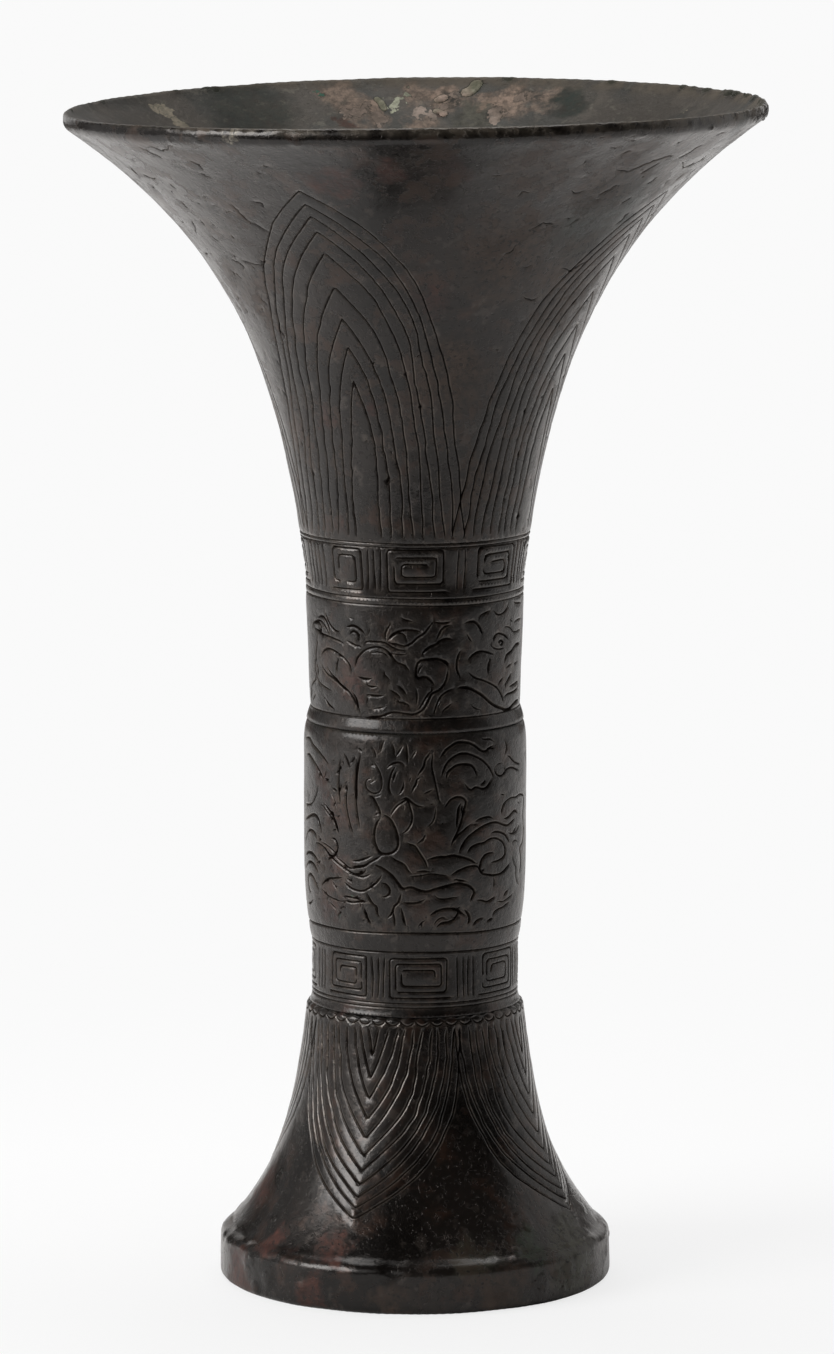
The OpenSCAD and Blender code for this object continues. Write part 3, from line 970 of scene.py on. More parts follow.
CLOUDS = (
    ((12.5, 110.4), (14, 111.2), (16, 112.2), (19, 113), (22, 113.6), (26, 113.6),
     (30, 113.2), (33, 112.5), (36, 111.6), (39, 111.3), (42, 111.9), (45, 112.3)),
    ((13.5, 106.5), (15, 108.3), (17, 109.7), (20, 110.7), (24, 111.3), (28, 111.2),
     (32, 110.6), (36, 109.8), (39, 108.9), (41.5, 107.9), (43.7, 106.6), (44.2, 105.5)),
    ((16, 106), (17, 107.6), (19, 108.3), (22, 109), (26, 109.1), (30, 108.8),
     (32.5, 107.7), (33.5, 106.3)),
    ((26, 105.5), (27.5, 104.5), (30, 103.7), (33, 104.2), (37, 103.7), (40, 104),
     (42, 104.9), (43, 105.8)),
    ((36.8, 114.6), (37.4, 113.9), (40, 113.7), (43, 113.6), (46, 112.8)),
    ((45.2, 108), (45.8, 106.8), (48, 106), (51, 105.8), (54, 106.6), (57, 107),
     (61, 106.9), (65, 106.4), (69, 105.7)),
    ((45.5, 107.9), (48, 108.3), (52, 108.5)),
    ((55, 109.6), (58, 109.4), (61, 108.5), (65, 107.7), (71, 107)),
    ((53.5, 113.6), (54.5, 112.7), (55.4, 111.8), (55, 110.7), (53, 109.8)),
    ((15, 100.3), (17, 101.3), (19, 102.1), (22, 102.5), (25, 102.3), (27, 101.4),
     (25.8, 99.5), (24.5, 97.5), (22.5, 95.5), (20.3, 93.8), (18.5, 92.3)),
    ((24.5, 101.5), (22.8, 100), (22.3, 98), (21.8, 96)),
    ((19.5, 93), (22.5, 94.6), (26, 95.6), (29, 96.5), (31, 97)),
    ((32, 97.2), (36, 97.6), (41, 97.8), (45, 97.2)),
    ((23, 91), (25, 92.5), (28, 94), (32, 95), (36, 95.8), (40, 96.3), (44, 96.5),
     (48, 96.3), (52, 95.7), (56, 95.3), (60, 95.7), (64, 96.4)),
    ((27.5, 90.8), (30, 91.9), (34, 92.5), (38, 92.6), (42, 93.2), (46, 93.2), (50, 92.6),
     (52.5, 91.8), (53.8, 90.5), (53.3, 89.4), (51, 88.7), (47, 88.4), (42, 88.3)),
    ((42, 94.3), (46, 94.5), (50, 94.2), (54, 93.5), (56.5, 92.5), (57.5, 91.5)),
    ((46, 90.2), (42, 90.3), (38.5, 89.9), (36.3, 88.8), (35.7, 87.4), (37, 86.4),
     (41, 85.9), (46, 85.6), (51, 85.7), (55, 86.5), (58.5, 87.5)),
    ((52, 97), (56, 96.8), (60, 97.5), (63, 97.9), (65, 97.7), (67.5, 97)),
    ((50.3, 97.7), (51, 99), (53, 100), (56, 100.5), (60, 100.8), (65, 100.6),
     (70, 100.9), (76, 100.3), (77, 98.6), (76, 96), (77.5, 93.5), (75.5, 91),
     (73, 90.3), (70.3, 89.7), (72, 88), (72, 86), (70, 84.2)),
    ((67, 99.4), (70, 99.3)),
    ((56, 93.9), (60, 93.4), (64, 93.3), (67, 93.9), (70, 94.8)),
    ((60, 91.3), (63, 91.7), (66, 91.6), (67, 91.2)),
    ((60.5, 89.2), (61.5, 88), (63, 87), (65, 86.2), (65.3, 84.7), (66.5, 83.5),
     (68.5, 82.7), (71, 82)),
)
CREATURE = (
    ((-22, 88.8), (-18, 88.2), (-14, 87.3), (-11, 86.3), (-8.5, 85), (-6, 84), (-2, 84.3),
     (2, 83.7), (6, 83.4), (10, 83.8), (14, 84.2), (18, 84.5), (22, 84.8), (26, 84.5),
     (28.5, 84.2), (31, 83.5), (32.5, 82.7), (31, 81.6), (30, 80.7)),
    ((-40, 84.7), (-36, 83.6), (-32, 83.1), (-28, 83.1), (-25, 83.7), (-22, 84.5),
     (-20, 85.2), (-18, 86.2), (-17, 87)),
    ((-38.5, 85.5), (-36, 85), (-34, 84.9)),
    ((-35, 88), (-31, 88), (-27, 88.3), (-24, 89.1), (-20, 90), (-17, 90.8)),
    ((-35, 89), (-30, 89.3), (-26, 89.9), (-22, 90.6)),
    ((-36, 86.3), (-30, 86.5), (-27, 87.1), (-25.5, 88)),
    ((-40, 81.8), (-34, 81.5), (-28, 81.7)),
    ((-40, 80.8), (-35, 80.5), (-30, 80.8), (-26, 80.7)),
    ((-27, 79.7), (-26, 78), (-25, 77), (-23, 76)),
    ((-26, 83), (-24.5, 81.7), (-22.5, 80.5), (-20.5, 80), (-20, 78.6), (-18.5, 77.8)),
    ((-18, 84.8), (-16, 85), (-14, 84.3), (-13, 83.4), (-14, 82.6), (-16, 82.2), (-18, 82.3)),
    ((-12.5, 90.7), (-10, 89.8), (-7, 89.3), (-5, 88.7), (-3.5, 87.7), (-1, 87)),
    ((-7, 83.4), (-7.7, 82.2), (-9, 81), (-11, 80.2), (-12, 79), (-13.5, 78.2), (-15.5, 77.6)),
    ((-7.5, 80.3), (-6.7, 79), (-5.8, 77.5), (-4.5, 76)),
    ((-11.5, 79.5), (-11, 77.8), (-10.5, 75.8)),
    ((-7, 81.3), (-4, 81), (0, 81), (3, 81.3), (6, 82)),
    ((1.5, 75.9), (3, 76.8), (6, 77.6)),
    ((7.5, 78.3), (10, 79), (14, 79.6), (18, 79.7), (22, 79.4), (25, 78.6), (28, 77.9)),
    ((9.5, 76.3), (12, 77.5), (15, 78), (17, 77.6)),
    ((11, 75.8), (14, 76.7), (18, 76.9), (20, 77.2), (23, 77.8)),
    ((10, 82.8), (12, 81.9), (16, 81.7), (20, 81.9), (23, 82)),
    ((0, 87.5), (5, 87.6), (9, 87.4)),
    ((-3.5, 86.5), (3, 86.7), (8, 87), (14, 86.7), (18, 86.4)),
    ((6, 90), (8, 90.1), (12, 90.4), (16, 90.4), (20, 90.6), (24, 90.2), (28, 89.7),
     (31, 89.1), (34, 88.4)),
    ((18.5, 86.5), (22, 87.2), (26, 87.8), (30, 88.1), (34, 87.9), (35.5, 86.8)),
    ((20, 85.9), (24, 85.4), (28, 85.2)),
    ((26, 79.5), (29, 78.3), (30, 77), (28.3, 76)),
    ((31.5, 75.5), (34, 76.5), (37, 77), (40, 77.1)),
    ((33, 81), (37, 80.8), (41, 80.3), (45, 80.8), (47.5, 81.3)),
    ((47.5, 80), (50, 79.9), (54, 79.7), (58, 80.1), (61, 80.5), (63, 81)),
    ((45.5, 76.9), (46.5, 77.8), (50, 78.3), (54, 78.5), (57, 79), (60, 79.4)),
    ((44.5, 85.3), (45.8, 84.5), (45, 83)),
    ((41, 76), (44, 76.5), (46.5, 76.7)),
)
FAR_SCROLLS = (
    ((-80, 95.2), (-72, 96.3), (-65, 97), (-60, 96.3), (-57, 93.5)),
    ((-80, 90.5), (-75, 92.8), (-70, 93.6), (-64, 93.2), (-61, 92)),
    ((-80, 87.8), (-73, 88.8), (-66, 88.8), (-60, 87.5)),
    ((-80, 85), (-73, 86.8), (-66, 86.8), (-60, 85.2)),
    ((-60, 81.5), (-66, 83.8), (-72, 84.4), (-75, 83), (-74, 81), (-71, 80.5)),
    ((-58, 82.8), (-52, 84.5), (-46, 85), (-40, 85.4)),
    ((-58, 82.4), (-53, 81.2), (-45, 80.5), (-41, 80.6)),
    ((-80, 78), (-74, 78.2), (-68, 79.5)),
    ((-80, 98.4), (-73, 98.6), (-67, 99.5), (-62, 101.5), (-60, 103.5)),
    ((-80, 112), (-72, 112.3), (-66, 111.3), (-58, 110), (-50, 108)),
    ((-40, 111), (-38, 110), (-36.5, 108.8), (-35.8, 107.6)),
    ((-42, 110), (-43, 105), (-42, 100)),
    ((-78, 108.5), (-72, 109), (-65, 108), (-59, 106.5), (-54, 104.5)),
    ((-55, 100), (-51, 99), (-46, 97), (-43, 94)),
    ((-54, 91), (-50, 89.5), (-46, 89.8), (-44, 91.5), (-46, 93), (-50, 93)),
)
# Fainter lines on the drum's left.
FAINT_LINES = (
    ((-64, 91.5), (-56, 91), (-48, 89), (-40.5, 87.5), (-34, 86.5), (-28, 86), (-22.5, 87)),
    ((-58, 92), (-49.5, 91), (-43.5, 89.5)),
    ((-46, 89.5), (-40.5, 88.5), (-35.5, 87.5), (-30.5, 88), (-26, 88.5)),
    ((-52.5, 80), (-47.5, 79), (-44.5, 78)),
    ((-42, 81.5), (-34, 81.5), (-27, 81), (-24.5, 81)),
    ((-28, 80.5), (-27, 78.5), (-23.5, 76.5)),
    ((-44.5, 80), (-40.5, 80.5), (-35, 81)),
    ((-58, 100), (-52.5, 98.5), (-46, 96.5), (-43.5, 94.5)),
    ((-49.5, 103), (-46, 101), (-43.5, 99)),
    ((-31, 110), (-32, 104), (-31, 99), (-29.5, 95.5)),
    ((-37, 105), (-38, 101), (-36, 97), (-33, 94)),
)

# Grooves round the waist, then the fret's units as (middle, half width) in degrees.
waist_strokes = [ring(waist_profile, 59.2, 0.5, 0.3, 0.05, 2),
                 ring(waist_profile, 60.1, 0.5, 0.3, 0.05, 3),
                 ring(waist_profile, 70.4, 0.55, 0.32, 0.3, 1.2),
                 ring(waist_profile, 74.1, 0.6, 0.35, 0.7, 1.2)]
LOWER_FRET = ((-42, 14.5), (3.5, 17.6), (52, 15), (96, 15.5), (140, 15), (184, 17),
              (229, 15), (273.5, 16))
waist_strokes += fret_band(waist_profile, LOWER_FRET, 61.2, 69.4, 1.24, 40)
for lines in (FLOWER, CLOUDS, CREATURE, FAR_SCROLLS):
    waist_strokes += freehand(waist_profile, lines, 0.68, 0.44)
waist_strokes += freehand(waist_profile, FAINT_LINES, 0.55, 0.3)
# Pits: (seed, number, low, high, middle and spread in degrees).
for pits in ((11, 60, 77, 110, -45, 9), (12, 40, 77, 110, 130, 14), (13, 50, 76, 112, 0, 70)):
    waist_strokes += pit_marks(waist_profile, *pits)

waist_sheet = engraved_sheet(
    "waist_casting", waist_profile, waist_strokes,
    rows=row_lengths(waist_profile, (0.9, 4.0)), columns=COLUMNS, spacing=0.55)
turned_piece("waist_casting", waist_profile, waist_sheet, SKIN,
             "waist_section")

# The trumpet casting
# The tallest section: neck, flare of even wall and a thick rounded lip that has
# gone slightly out of level. Its spigot is soldered into the drum.

LIP_R = 70.9
RIM_Z = 240.0
NECK_R = 21.4

FLARE_WALL = 2.2
UPPER_SPIGOT_R = 20.4
UPPER_SPIGOT_Z = 108.4

flare = [(22.35, 146.0)] + bezier(
    (22.35, 146.0), (27.7, 187.3), (36.9, 213.4), (70.1, 236.8), 60)
flare_inside = [p for p in inset(flare, FLARE_WALL) if p[1] < 237.2]
trumpet_profile = Profile(
    [(BORE_R, UPPER_SPIGOT_Z), (UPPER_SPIGOT_R, UPPER_SPIGOT_Z), (UPPER_SPIGOT_R, UPPER_SEAM_Z)],
    [(UPPER_SEAM_R, UPPER_SEAM_Z), (22.15, 115.8)]
    + bezier((22.15, 115.8), (22.05, 116.6), (21.6, 117.6), (NECK_R, 118.8), 8)
    + flare + bezier((70.1, 236.8), (70.65, 237.2), (LIP_R, 237.7), (LIP_R, 238.6), 5)
    + [(LIP_R - 0.05, 239.5), (LIP_R - 0.2, 239.85), (LIP_R - 0.5, RIM_Z)],
    [(LIP_R - 0.85, 239.95), (69.6, 239.4), (68.7, 238.5)] + flare_inside[::-1]
    + [(NECK_R - FLARE_WALL, 119.0), (BORE_R, 118.0)])

# The neck's carved lines, given like the drum's.
MASK_CHEEK = (
    ((-56, 139), (-54, 138), (-51, 136.5), (-47, 135.5), (-43, 135.5)),
    ((-72, 136), (-67, 136.5), (-61, 137), (-56, 136), (-52, 134.5)),
    ((-70, 136), (-65, 136.5), (-60, 136), (-60, 135), (-64, 134.8), (-69, 135.2)),
    ((-65, 134.5), (-58, 134.3), (-51, 134), (-44, 133.5), (-40, 133)),
    ((-48, 130.5), (-43, 130.5), (-39, 129.5), (-36.5, 128), (-38, 127)),
    ((-56, 128), (-52, 126.5), (-47, 125.5), (-44, 124.5), (-40, 123.5)),
    ((-67, 130), (-69, 127), (-65, 124.5), (-58, 123.5), (-51, 123)),
    ((-60, 121.5), (-54, 120), (-49, 119)),
    ((-25, 131.5), (-20, 132), (-15.5, 131.5), (-13, 130.5)),
    ((-29, 133.5), (-26, 134), (-21, 134), (-17, 134), (-12, 133), (-8, 132.5), (-4, 132.5)),
    ((14, 130.5), (17, 130), (19.5, 129)),
)
MASK_EYES = (
    ((-40, 136.4), (-36, 136.9), (-33, 136.9), (-29, 136), (-27, 135)),
    ((-40, 134.1), (-37, 133.5), (-33, 133), (-29, 133)),
    ((-37, 134.8), (-36, 135.7), (-34, 135.9), (-32, 135.5), (-30.5, 134.7), (-33, 134.2)),
    ((-12, 138), (-14.5, 137), (-16, 135.7), (-15.5, 134.1)),
    ((-15, 134.2), (-12.5, 135.5), (-9, 136.3), (-5, 136.6), (0, 136.5), (4, 136.2)),
    ((-15, 134), (-10, 133.7), (-6, 133.3), (-2, 133.9), (1, 135), (5, 136), (8, 137.5),
     (10, 138.3)),
    ((-13.5, 134.5), (-12, 135.3), (-9, 136), (-6, 135.7), (-4.5, 134.8), (-5.7, 134)),
    ((45.3, 133.6), (47, 134.3), (50, 134.8), (54, 134.5), (58, 133.8), (61, 132.8)),
    ((43.8, 132.9), (46, 132.2), (49, 131.7), (53, 131.5), (57, 131.7)),
    ((50, 132.8), (52, 133.3), (54.8, 133), (54, 132.5), (51.5, 132.4)),
)
MASK_FACE = (
    ((3, 131.3), (5, 132.3), (8, 133.2), (11, 133.6), (14, 134.5), (18, 134.7), (21, 134.5)),
    ((11, 134.2), (12.5, 135.5), (15, 137), (20, 137.6)),
    ((19, 128.8), (16, 130), (12, 130.7), (7, 130.6), (3, 130.4), (1, 129.5), (0.4, 128),
     (1.2, 126.8), (5, 127.1), (8, 126.5), (11, 125.2)),
    ((1.4, 127.4), (2.4, 128.7), (5, 129.7)),
    ((18, 128.8), (17.5, 127), (16, 125.5), (13, 124.3), (9, 123.5), (7, 122), (5, 120.7),
     (3, 120), (-1, 119.4), (-6, 119.6), (-12, 119.8), (-16, 119.3), (-20, 118.8), (-27, 118.6)),
    ((10.5, 124.6), (7.5, 123.7), (5, 122.3), (3, 121), (1, 120.4)),
    ((0, 125.3), (1, 123.8), (1, 122.3), (0.5, 121)),
    ((-34, 128.3), (-33, 130), (-30, 131.5), (-26, 132.5), (-20, 133), (-15, 132.3),
     (-12, 131), (-10, 130), (-6, 129.5), (-4, 128.8), (-2.5, 127.8)),
    ((-14, 131.9), (-9, 131.6), (-3, 131.7)),
    ((-18, 128), (-15.5, 127), (-13, 126.2)),
    ((-33, 126.7), (-28, 126.3), (-23, 126.5)),
    ((-36, 123.5), (-33.5, 122), (-32, 120), (-30.5, 119)),
    ((-27, 122.5), (-26, 121.3)),
    ((-28, 123.2), (-22, 123), (-16, 123.2)),
    ((-28, 125.2), (-24, 124.8), (-20, 125)),
    ((-10.5, 125.5), (-7, 124.6), (-4, 123)),
    ((-14, 124.5), (-10, 123.5), (-7, 122.7)),
    ((-11, 122.1), (-6, 121.7), (-2, 121.2)),
    ((-24, 120.3), (-18, 120.7), (-15, 121)),
    ((56.2, 128.3), (57, 129.3), (59, 130.1), (62, 130.3), (65, 130.8), (69, 131.5), (78, 131.6)),
    ((57, 127.3), (61, 127.6), (65, 128.1)),
    ((67, 127.6), (74, 128)),
    ((50.5, 124), (53, 125), (56.5, 125.8)),
    ((57, 124), (60, 124.6), (63, 125.5), (65, 126.1)),
    ((62, 123.3), (70, 123.5), (78, 123.8)),
    ((57, 121.6), (62, 121.9), (70, 122), (78, 122.6)),
    ((22.5, 124.5), (25, 124.6), (30, 124.4), (35, 123.5), (40, 122.4), (43, 121.5),
     (46, 120.7), (50, 119.9), (55, 119.3), (60, 118.7), (64, 118.8), (70, 119.5), (80, 119.9)),
)
MASK_FLAMES = (
    ((-8, 139.3), (-5, 138.6), (0, 138.3)),
    ((-24, 137.3), (-25.5, 135.2)),
    ((9, 138.4), (14, 137.9), (20, 138.3)),
    ((35, 138.9), (39, 139.3), (44, 139.9)),
    ((45, 140.2), (47, 139.2), (50, 138.6), (54, 138.8), (57, 139.6), (58.5, 140.8)),
    ((64, 140.9), (67, 140.3), (72, 140), (78, 139.8)),
    ((54, 135.9), (59, 135.8), (63, 135.2), (67, 134.3), (78, 134.5)),
    ((60, 137.5), (62, 137), (64, 136.5)),
    ((65, 136.3), (70, 136.6), (78, 136.7)),
    ((-38, 138.9), (-35, 138.4), (-33, 138.9)),
)
MASK_HORN = (
    ((26, 137.6), (30, 137.9), (33, 137.8), (36, 136.8), (38, 135.5), (38.5, 134.6)),
    ((28, 135.8), (30, 134.5), (32.5, 133.5)),
    ((26, 132.5), (24, 131.5), (22.7, 129.5), (23.5, 127.8), (26, 126.3)),
    ((29, 129.8), (31, 130.7), (35, 131.5), (38, 131.6), (42, 131.3), (48, 130.5)),
    ((45.3, 130), (43.5, 129), (43, 127.7), (43.3, 126.4)),
    ((29, 128), (32, 126.9), (35, 126.2), (40, 125.6), (45, 124.8), (50, 123.8),
     (53, 122.8), (55.5, 121.5), (57, 120.1)),
    ((31.3, 121.7), (32, 120.9), (35, 120), (40, 119.6)),
    ((10, 119), (11, 120.5), (14, 123), (19, 124.2), (22.5, 124.5)),
    ((12, 120.3), (13.5, 121.5), (15, 122.2)),
    ((14, 119.8), (18, 120.8), (21, 121.7)),
)
UPPER_LEAF_TIPS = (227.0, 224.2, 221.6, 218.4, 214.0, 207.0, 200.5, 194.6, 187.6)
trumpet_strokes = [ring(trumpet_profile, 118.4, 0.55, 0.28, 0.05, 1),
                   ring(trumpet_profile, 141.4, 0.5, 0.3, 0.35, 2),
                   ring(trumpet_profile, 142.8, 0.5, 0.3, 0.35, 2.2),
                   ring(trumpet_profile, 153.4, 0.45, 0.28, 0.1, 4),
                   ring(trumpet_profile, 154.2, 0.45, 0.28, 0.1, 4.2)]
for leaf in range(4):
    for n, tip_z in enumerate(UPPER_LEAF_TIPS):
        half_width = 19.6 - 2.1 * n
        trumpet_strokes.append(leaf_line(
            trumpet_profile, LEAF_TURN - 1 + 90 * leaf, 155.0, tip_z - (3.0 if leaf == 1 else 0),
            half_width, 8.0 + 0.6 * half_width, 70 + 13 * leaf + n, 0.54, 0.34))
UPPER_FRET = ((-39, 11), (2, 16.5), (45, 15), (88, 14), (133, 15.5), (179, 16),
              (226, 14), (274, 14.5))
trumpet_strokes += fret_band(trumpet_profile, UPPER_FRET, 144.4, 152.9, 1.5, 80)
for lines, width, depth in ((MASK_CHEEK, 0.62, 0.42), (MASK_EYES, 0.7, 0.5),
                            (MASK_FACE, 0.7, 0.5), (MASK_FLAMES, 0.62, 0.44)):
    trumpet_strokes += freehand(trumpet_profile, lines, width, depth)
trumpet_strokes += freehand(trumpet_profile, MASK_HORN, 0.68, 0.46, (-90, 0, 90, 180))

# Pits: (seed, number, low, high, middle and spread in degrees, size, lean).
PITS = (
    (5, 16, 200, 235, -62, 12, 0.8, 1.1), (6, 30, 160, 225, -72, 12, 0.8, 1.3),
    (7, 20, 200, 235, 62, 15, 0.8, 0.7), (8, 70, 160, 235, 180, 60, 1.2, 0.9),
    (9, 22, 160, 225, 0, 30, 0.7, 0.6), (10, 46, 226, 236, -84, 9, 1.5, 1.2),
    (14, 34, 224, 236, 84, 10, 1.3, 0.9), (15, 36, 150, 205, 75, 14, 0.8, 0.9),
)
for pits in PITS:
    trumpet_strokes += pit_marks(trumpet_profile, *pits)
# Ragged edges where the patina has flaked: (degrees, height, reach in mm, lean in degrees).
FLAKED_EDGES = (
    (-46, 235, 7, 0), (-42, 232, 4, -70), (-42, 230, 3, -30), (-48, 225, 2, 0), (-47, 224, 2, -10),
    (-44, 222, 2, -15), (-57, 216, 2, -80), (-54, 211, 4, -50), (-47, 212, 8, 20),
    (-58, 208, 2, -40), (-51, 234, 5, -35), (-39, 221, 10, -70), (-62, 228, 5, -10),
    (-64, 218, 6, 60), (-56, 227, 2, -90), (-58, 223, 3, -80), (-29, 231, 1.5, -20),
    (-27, 232, 1.5, 0), (46, 232, 15, 20), (39, 233, 3, 10), (35, 235, 2, 0), (38, 236, 2, 5),
    (37, 237, 2, 20), (31, 237, 1.5, 20), (61, 236, 3, 30), (65, 230, 13, 10), (66, 227, 3, 40),
    (31, 232, 2, 70), (30, 220, 6, 10), (39, 219, 3, 10), (51, 223, 3, 55), (47, 211, 7, 15),
    (31, 211, 3, 0), (54, 227, 3, 50), (62, 226, 2, -60), (22, 226, 3, 30), (34, 226, 4, -15),
    (43, 225, 5, 25), (56, 219, 4, 60), (36, 204, 4, 20), (-34, 224, 3, -40), (-52, 203, 3, -60),
    (-49, 197, 4, -75), (15, 230, 3, 10), (24, 214, 3, 60), (58, 232, 6, 15), (50, 229, 5, 30),
)


def flaked_edges(profile, marks, width, depth):
    """Short ragged lines, each wandering about its own straight course."""
    strokes = []
    for n, (angle, z, reach, lean) in enumerate(marks):
        middle = float(profile.length_at(z))
        radius = float(profile.radius_at(middle))
        lean = math.radians(lean)
        path = []
        for i in range(33):
            along = reach * (i / 32 - 0.5)
            off = 0.34 * reach * waver(n * 1.7, along, 0.8 * reach)
            off += 0.42 * waver(n + 5, along, 0.9)
            path.append((
                angle + math.degrees((along * math.cos(lean) - off * math.sin(lean)) / radius),
                middle + along * math.sin(lean) + off * math.cos(lean)))
        strokes.append(Stroke([x for x, _ in path], [y for _, y in path], width, depth))
    return strokes


trumpet_strokes += flaked_edges(trumpet_profile, FLAKED_EDGES, 0.55, 0.24)

# Crusts of old corrosion inside the flare: path of (x in mm, height), size, thickness.
INNER_CRUSTS = (
    (((-8, 236), (-7, 235), (-6.5, 234)), 0.7, 0.16),
    (((0, 239), (-1.5, 236.5), (-3, 234), (-4, 232)), 1.2, 0.24),
    (((0.5, 232), (0, 234), (0.5, 236), (2, 237), (3, 236), (4.5, 235.5), (6, 236)), 1.0, 0.24),
    (((3, 232.5), (4.5, 233.5), (6, 233)), 0.8, 0.2),
    (((13, 238.5), (12, 237.5), (11, 237)), 1.5, 0.28),
)
inner_z = trumpet_profile.loop[trumpet_profile.outer.stop:, 1][::-1]
inner_lengths = trumpet_profile.lengths[trumpet_profile.outer.stop:][::-1]


def inner_length(z):
    """Length along the outline at a height on the flare's inner face."""
    usable = slice(np.argmin(np.abs(inner_z - 118)), None)
    return float(np.interp(z, inner_z[usable], inner_lengths[usable]))


# Crusts on the flare's inner face, then fine scabs along the lip, the thickest of them
# about its right end.
LIP_SCABS = 130
EVEN_SCABS = 50
RIGHT_END = 97
trumpet_lumps = []
for n, (path, size, height) in enumerate(INNER_CRUSTS):
    for i, (x, z) in enumerate(smooth_path(path, 4)):
        length = inner_length(z)
        turn = math.degrees(math.asin(x / float(trumpet_profile.radius_at(length))))
        width = size * (1.0 + 0.25 * waver(n, i, 1.7))
        trumpet_lumps.append((180 - turn, length, width, height, 1.0))
scale = random.Random(8)
lip_top = float(trumpet_profile.lengths[trumpet_profile.outer.stop - 2])
for n in range(LIP_SCABS):
    angle, height = scale.uniform(-LUMP_BACK, LUMP_BACK), 0.12
    if n > EVEN_SCABS:
        angle, height = scale.gauss(RIGHT_END, 14), 0.3
    trumpet_lumps.append((angle, lip_top + scale.uniform(-3.2, 1.2), scale.uniform(0.3, 1.5),
                          height * scale.uniform(0.2, 1.0), 0.4))

trumpet_sheet = engraved_sheet(
    "trumpet_casting", trumpet_profile, trumpet_strokes,
    rows=row_lengths(trumpet_profile, (1.5, 3.0)), columns=COLUMNS, spacing=0.9,
    lumps=trumpet_lumps)
TRUMPET_SKIN = dict(SKIN)
TRUMPET_SKIN["Rim wave"] = 1.05 * MM
turned_piece("trumpet_casting", trumpet_profile, trumpet_sheet, TRUMPET_SKIN,
             "trumpet_mouth")

# The floor disc
# A plain disc of the same bronze, cast flat and lowered on to the ledge inside the
# waist. It is left as cast, so it is browner and duller than the skin outside.


def plain_metal(name, colour, worn, rough, bump_size):
    """A dull metal with a little mottling, for what is out of sight."""
    material = bpy.data.materials.new(name)
    material.use_nodes = True
    material.node_tree.nodes.clear()
    g = Graph(material.node_tree)
    here = coordinates(g)
    cloud = g.node("ShaderNodeTexNoise", {}, {"Vector": here, "Scale": 190.0, "Detail": 5.0})[0]
    grain = g.node("ShaderNodeTexNoise", {}, {"Vector": here, "Scale": 900.0, "Detail": 3.0})[0]
    bump = g.node("ShaderNodeBump", {}, {"Strength": 0.5, "Distance": bump_size,
                                         "Height": cloud + grain * 0.4})[0]
    shader = g.node("ShaderNodeBsdfPrincipled", {}, {
        "Base Color": g.mix(cloud.above(0.38, 0.62), colour, worn), "Metallic": 0.8,
        "Roughness": cloud * 0.2 + rough, "Normal": bump})[0]
    g.node("ShaderNodeOutputMaterial", {}, {0: shader})
    return material


def finish_node(name, material):
    """Gives a CAD node that is shown as it is a procedural material on its object slot."""
    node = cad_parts[name]
    node.material_slots[0].link = "OBJECT"
    node.material_slots[0].material = material


finish_node("floor_disc", plain_metal("bare bronze", (0.110, 0.074, 0.044),
                                      (0.052, 0.038, 0.027), 0.42, 0.0002))

# The solder
# Soft solder fills the thin gaps round both spigots and runs round the edge of the
# floor as a hollow fillet. It has dulled to a dark lead grey.

solder = plain_metal("dull solder", (0.155, 0.155, 0.150), (0.080, 0.078, 0.072), 0.38, 0.0001)
for name in ("lower_solder_seam", "upper_solder_seam", "floor_solder_fillet"):
    finish_node(name, solder)

# The table, the lights and the camera
# A pale table top that fades into white and ends a little before the object, and soft
# white cards round a dark room, with a strong softbox on the left and a weak one nearer
# the camera.

TABLE_HALF = 1.0
TABLE_FRONT = -0.34
TABLE_BACK = 1.2
PAPER_WHITE = (0.955, 0.955, 0.955)
TABLE_WHITE = (0.88, 0.88, 0.88)
DARK_ROOM = (0.022, 0.020, 0.018)

table_mesh = bpy.data.meshes.new("table")
table_mesh.from_pydata([(-TABLE_HALF, TABLE_FRONT, 0), (TABLE_HALF, TABLE_FRONT, 0),
                        (TABLE_HALF, TABLE_BACK, 0), (-TABLE_HALF, TABLE_BACK, 0)],
                       [], [(0, 1, 2, 3)])
table = bpy.data.objects.new("table", table_mesh)
bpy.context.scene.collection.objects.link(table)
paper = bpy.data.materials.new("white paper")
paper.use_nodes = True
paper.node_tree.nodes.clear()
g = Graph(paper.node_tree)
seen = g.node("ShaderNodeLightPath")["Is Camera Ray"]
here = g.node("ShaderNodeTexCoord")["Object"]
away = g.node("ShaderNodeVectorMath", {"operation": "LENGTH"}, {0: here})["Value"]
faded = away.above(0.08, 0.34) * 0.2 + 0.8
matt = g.node("ShaderNodeBsdfDiffuse", {}, {"Color": TABLE_WHITE})[0]
glow = g.node("ShaderNodeEmission", {}, {"Color": PAPER_WHITE, "Strength": 1.0})[0]
shader = g.node("ShaderNodeMixShader", {}, {0: seen * faded, 1: matt, 2: glow})[0]
g.node("ShaderNodeOutputMaterial", {}, {0: shader})
table_mesh.materials.append(paper)

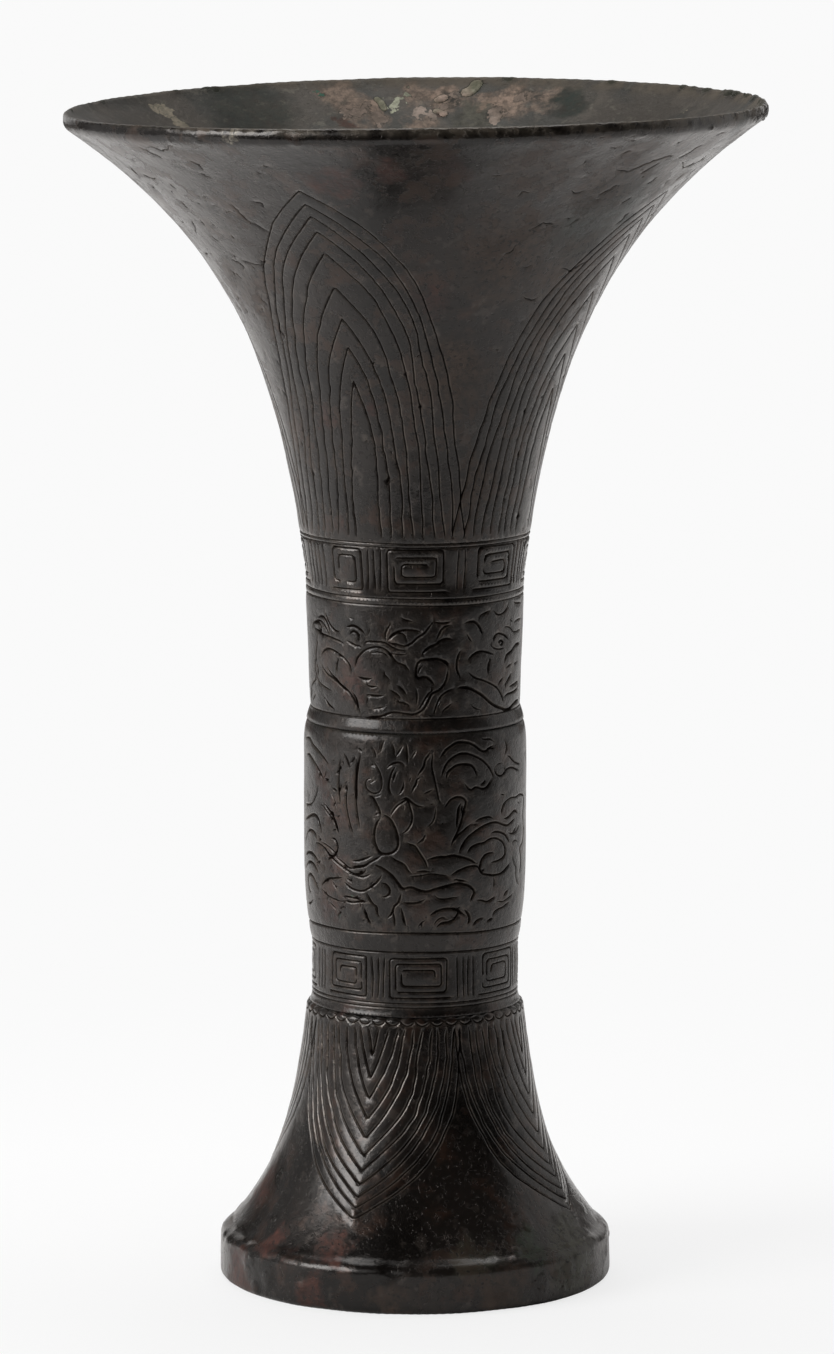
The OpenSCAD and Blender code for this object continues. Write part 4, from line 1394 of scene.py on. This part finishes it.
world = bpy.data.worlds.new("studio")
bpy.context.scene.world = world
world.use_nodes = True
world.node_tree.nodes.clear()
g = Graph(world.node_tree)
path = g.node("ShaderNodeLightPath")
seen = path["Is Camera Ray"].math("MAXIMUM", path["Is Camera Ray"], path["Is Transmission Ray"])
dim = g.node("ShaderNodeBackground", {}, {"Color": DARK_ROOM, "Strength": 1.0})[0]
white = g.node("ShaderNodeBackground", {}, {"Color": PAPER_WHITE, "Strength": 1.0})[0]
both = g.node("ShaderNodeMixShader", {}, {0: seen, 1: dim, 2: white})[0]
g.node("ShaderNodeOutputWorld", {}, {0: both})


def card(name, spot, aim, width, height, brightness):
    """A soft light of an even brightness that the camera doesn't see."""
    lamp = bpy.data.lights.new(name, "AREA")
    lamp.shape = "RECTANGLE"
    lamp.size = width
    lamp.size_y = height
    lamp.energy = brightness * math.pi * width * height
    obj = bpy.data.objects.new(name, lamp)
    obj.location = spot
    obj.rotation_euler = (Vector(aim) - Vector(spot)).to_track_quat("-Z", "Y").to_euler()
    obj.visible_camera = False
    bpy.context.scene.collection.objects.link(obj)


card("left_card", (-1.0, 0.05, 0.36), (0, 0, 0.15), 1.6, 1.0, 0.35)
card("right_card", (1.0, 0.4, 0.4), (0, 0, 0.15), 1.0, 1.1, 0.7)
card("back_card", (0, 1.3, 0.6), (0, 0, 0.15), 1.6, 1.0, 0.8)
card("top_card", (0, 0.35, 1.6), (0, 0, 0.1), 1.4, 1.2, 4.3)
card("left_softbox", (-0.97, -0.52, 0.56), (0, 0, 0.08), 0.75, 0.5, 10.5)
card("front_softbox", (-0.56, -0.95, 0.52), (0, 0, 0.1), 0.5, 0.4, 0.9)

SENSOR_WIDTH = 36.0
LENS = 196.2
CAMERA_SPOT = (0.0004, -1.487, 0.3487)
CAMERA_PITCH = 8.6

camera = bpy.data.cameras.new("camera")
camera.sensor_width = SENSOR_WIDTH
camera.lens = LENS
camera.clip_start = 0.05
view = bpy.data.objects.new("camera", camera)
view.location = CAMERA_SPOT
view.rotation_euler = (math.radians(90 - CAMERA_PITCH), 0, 0)
bpy.context.scene.collection.objects.link(view)
bpy.context.scene.camera = view
bpy.context.scene.view_settings.view_transform = "Standard"
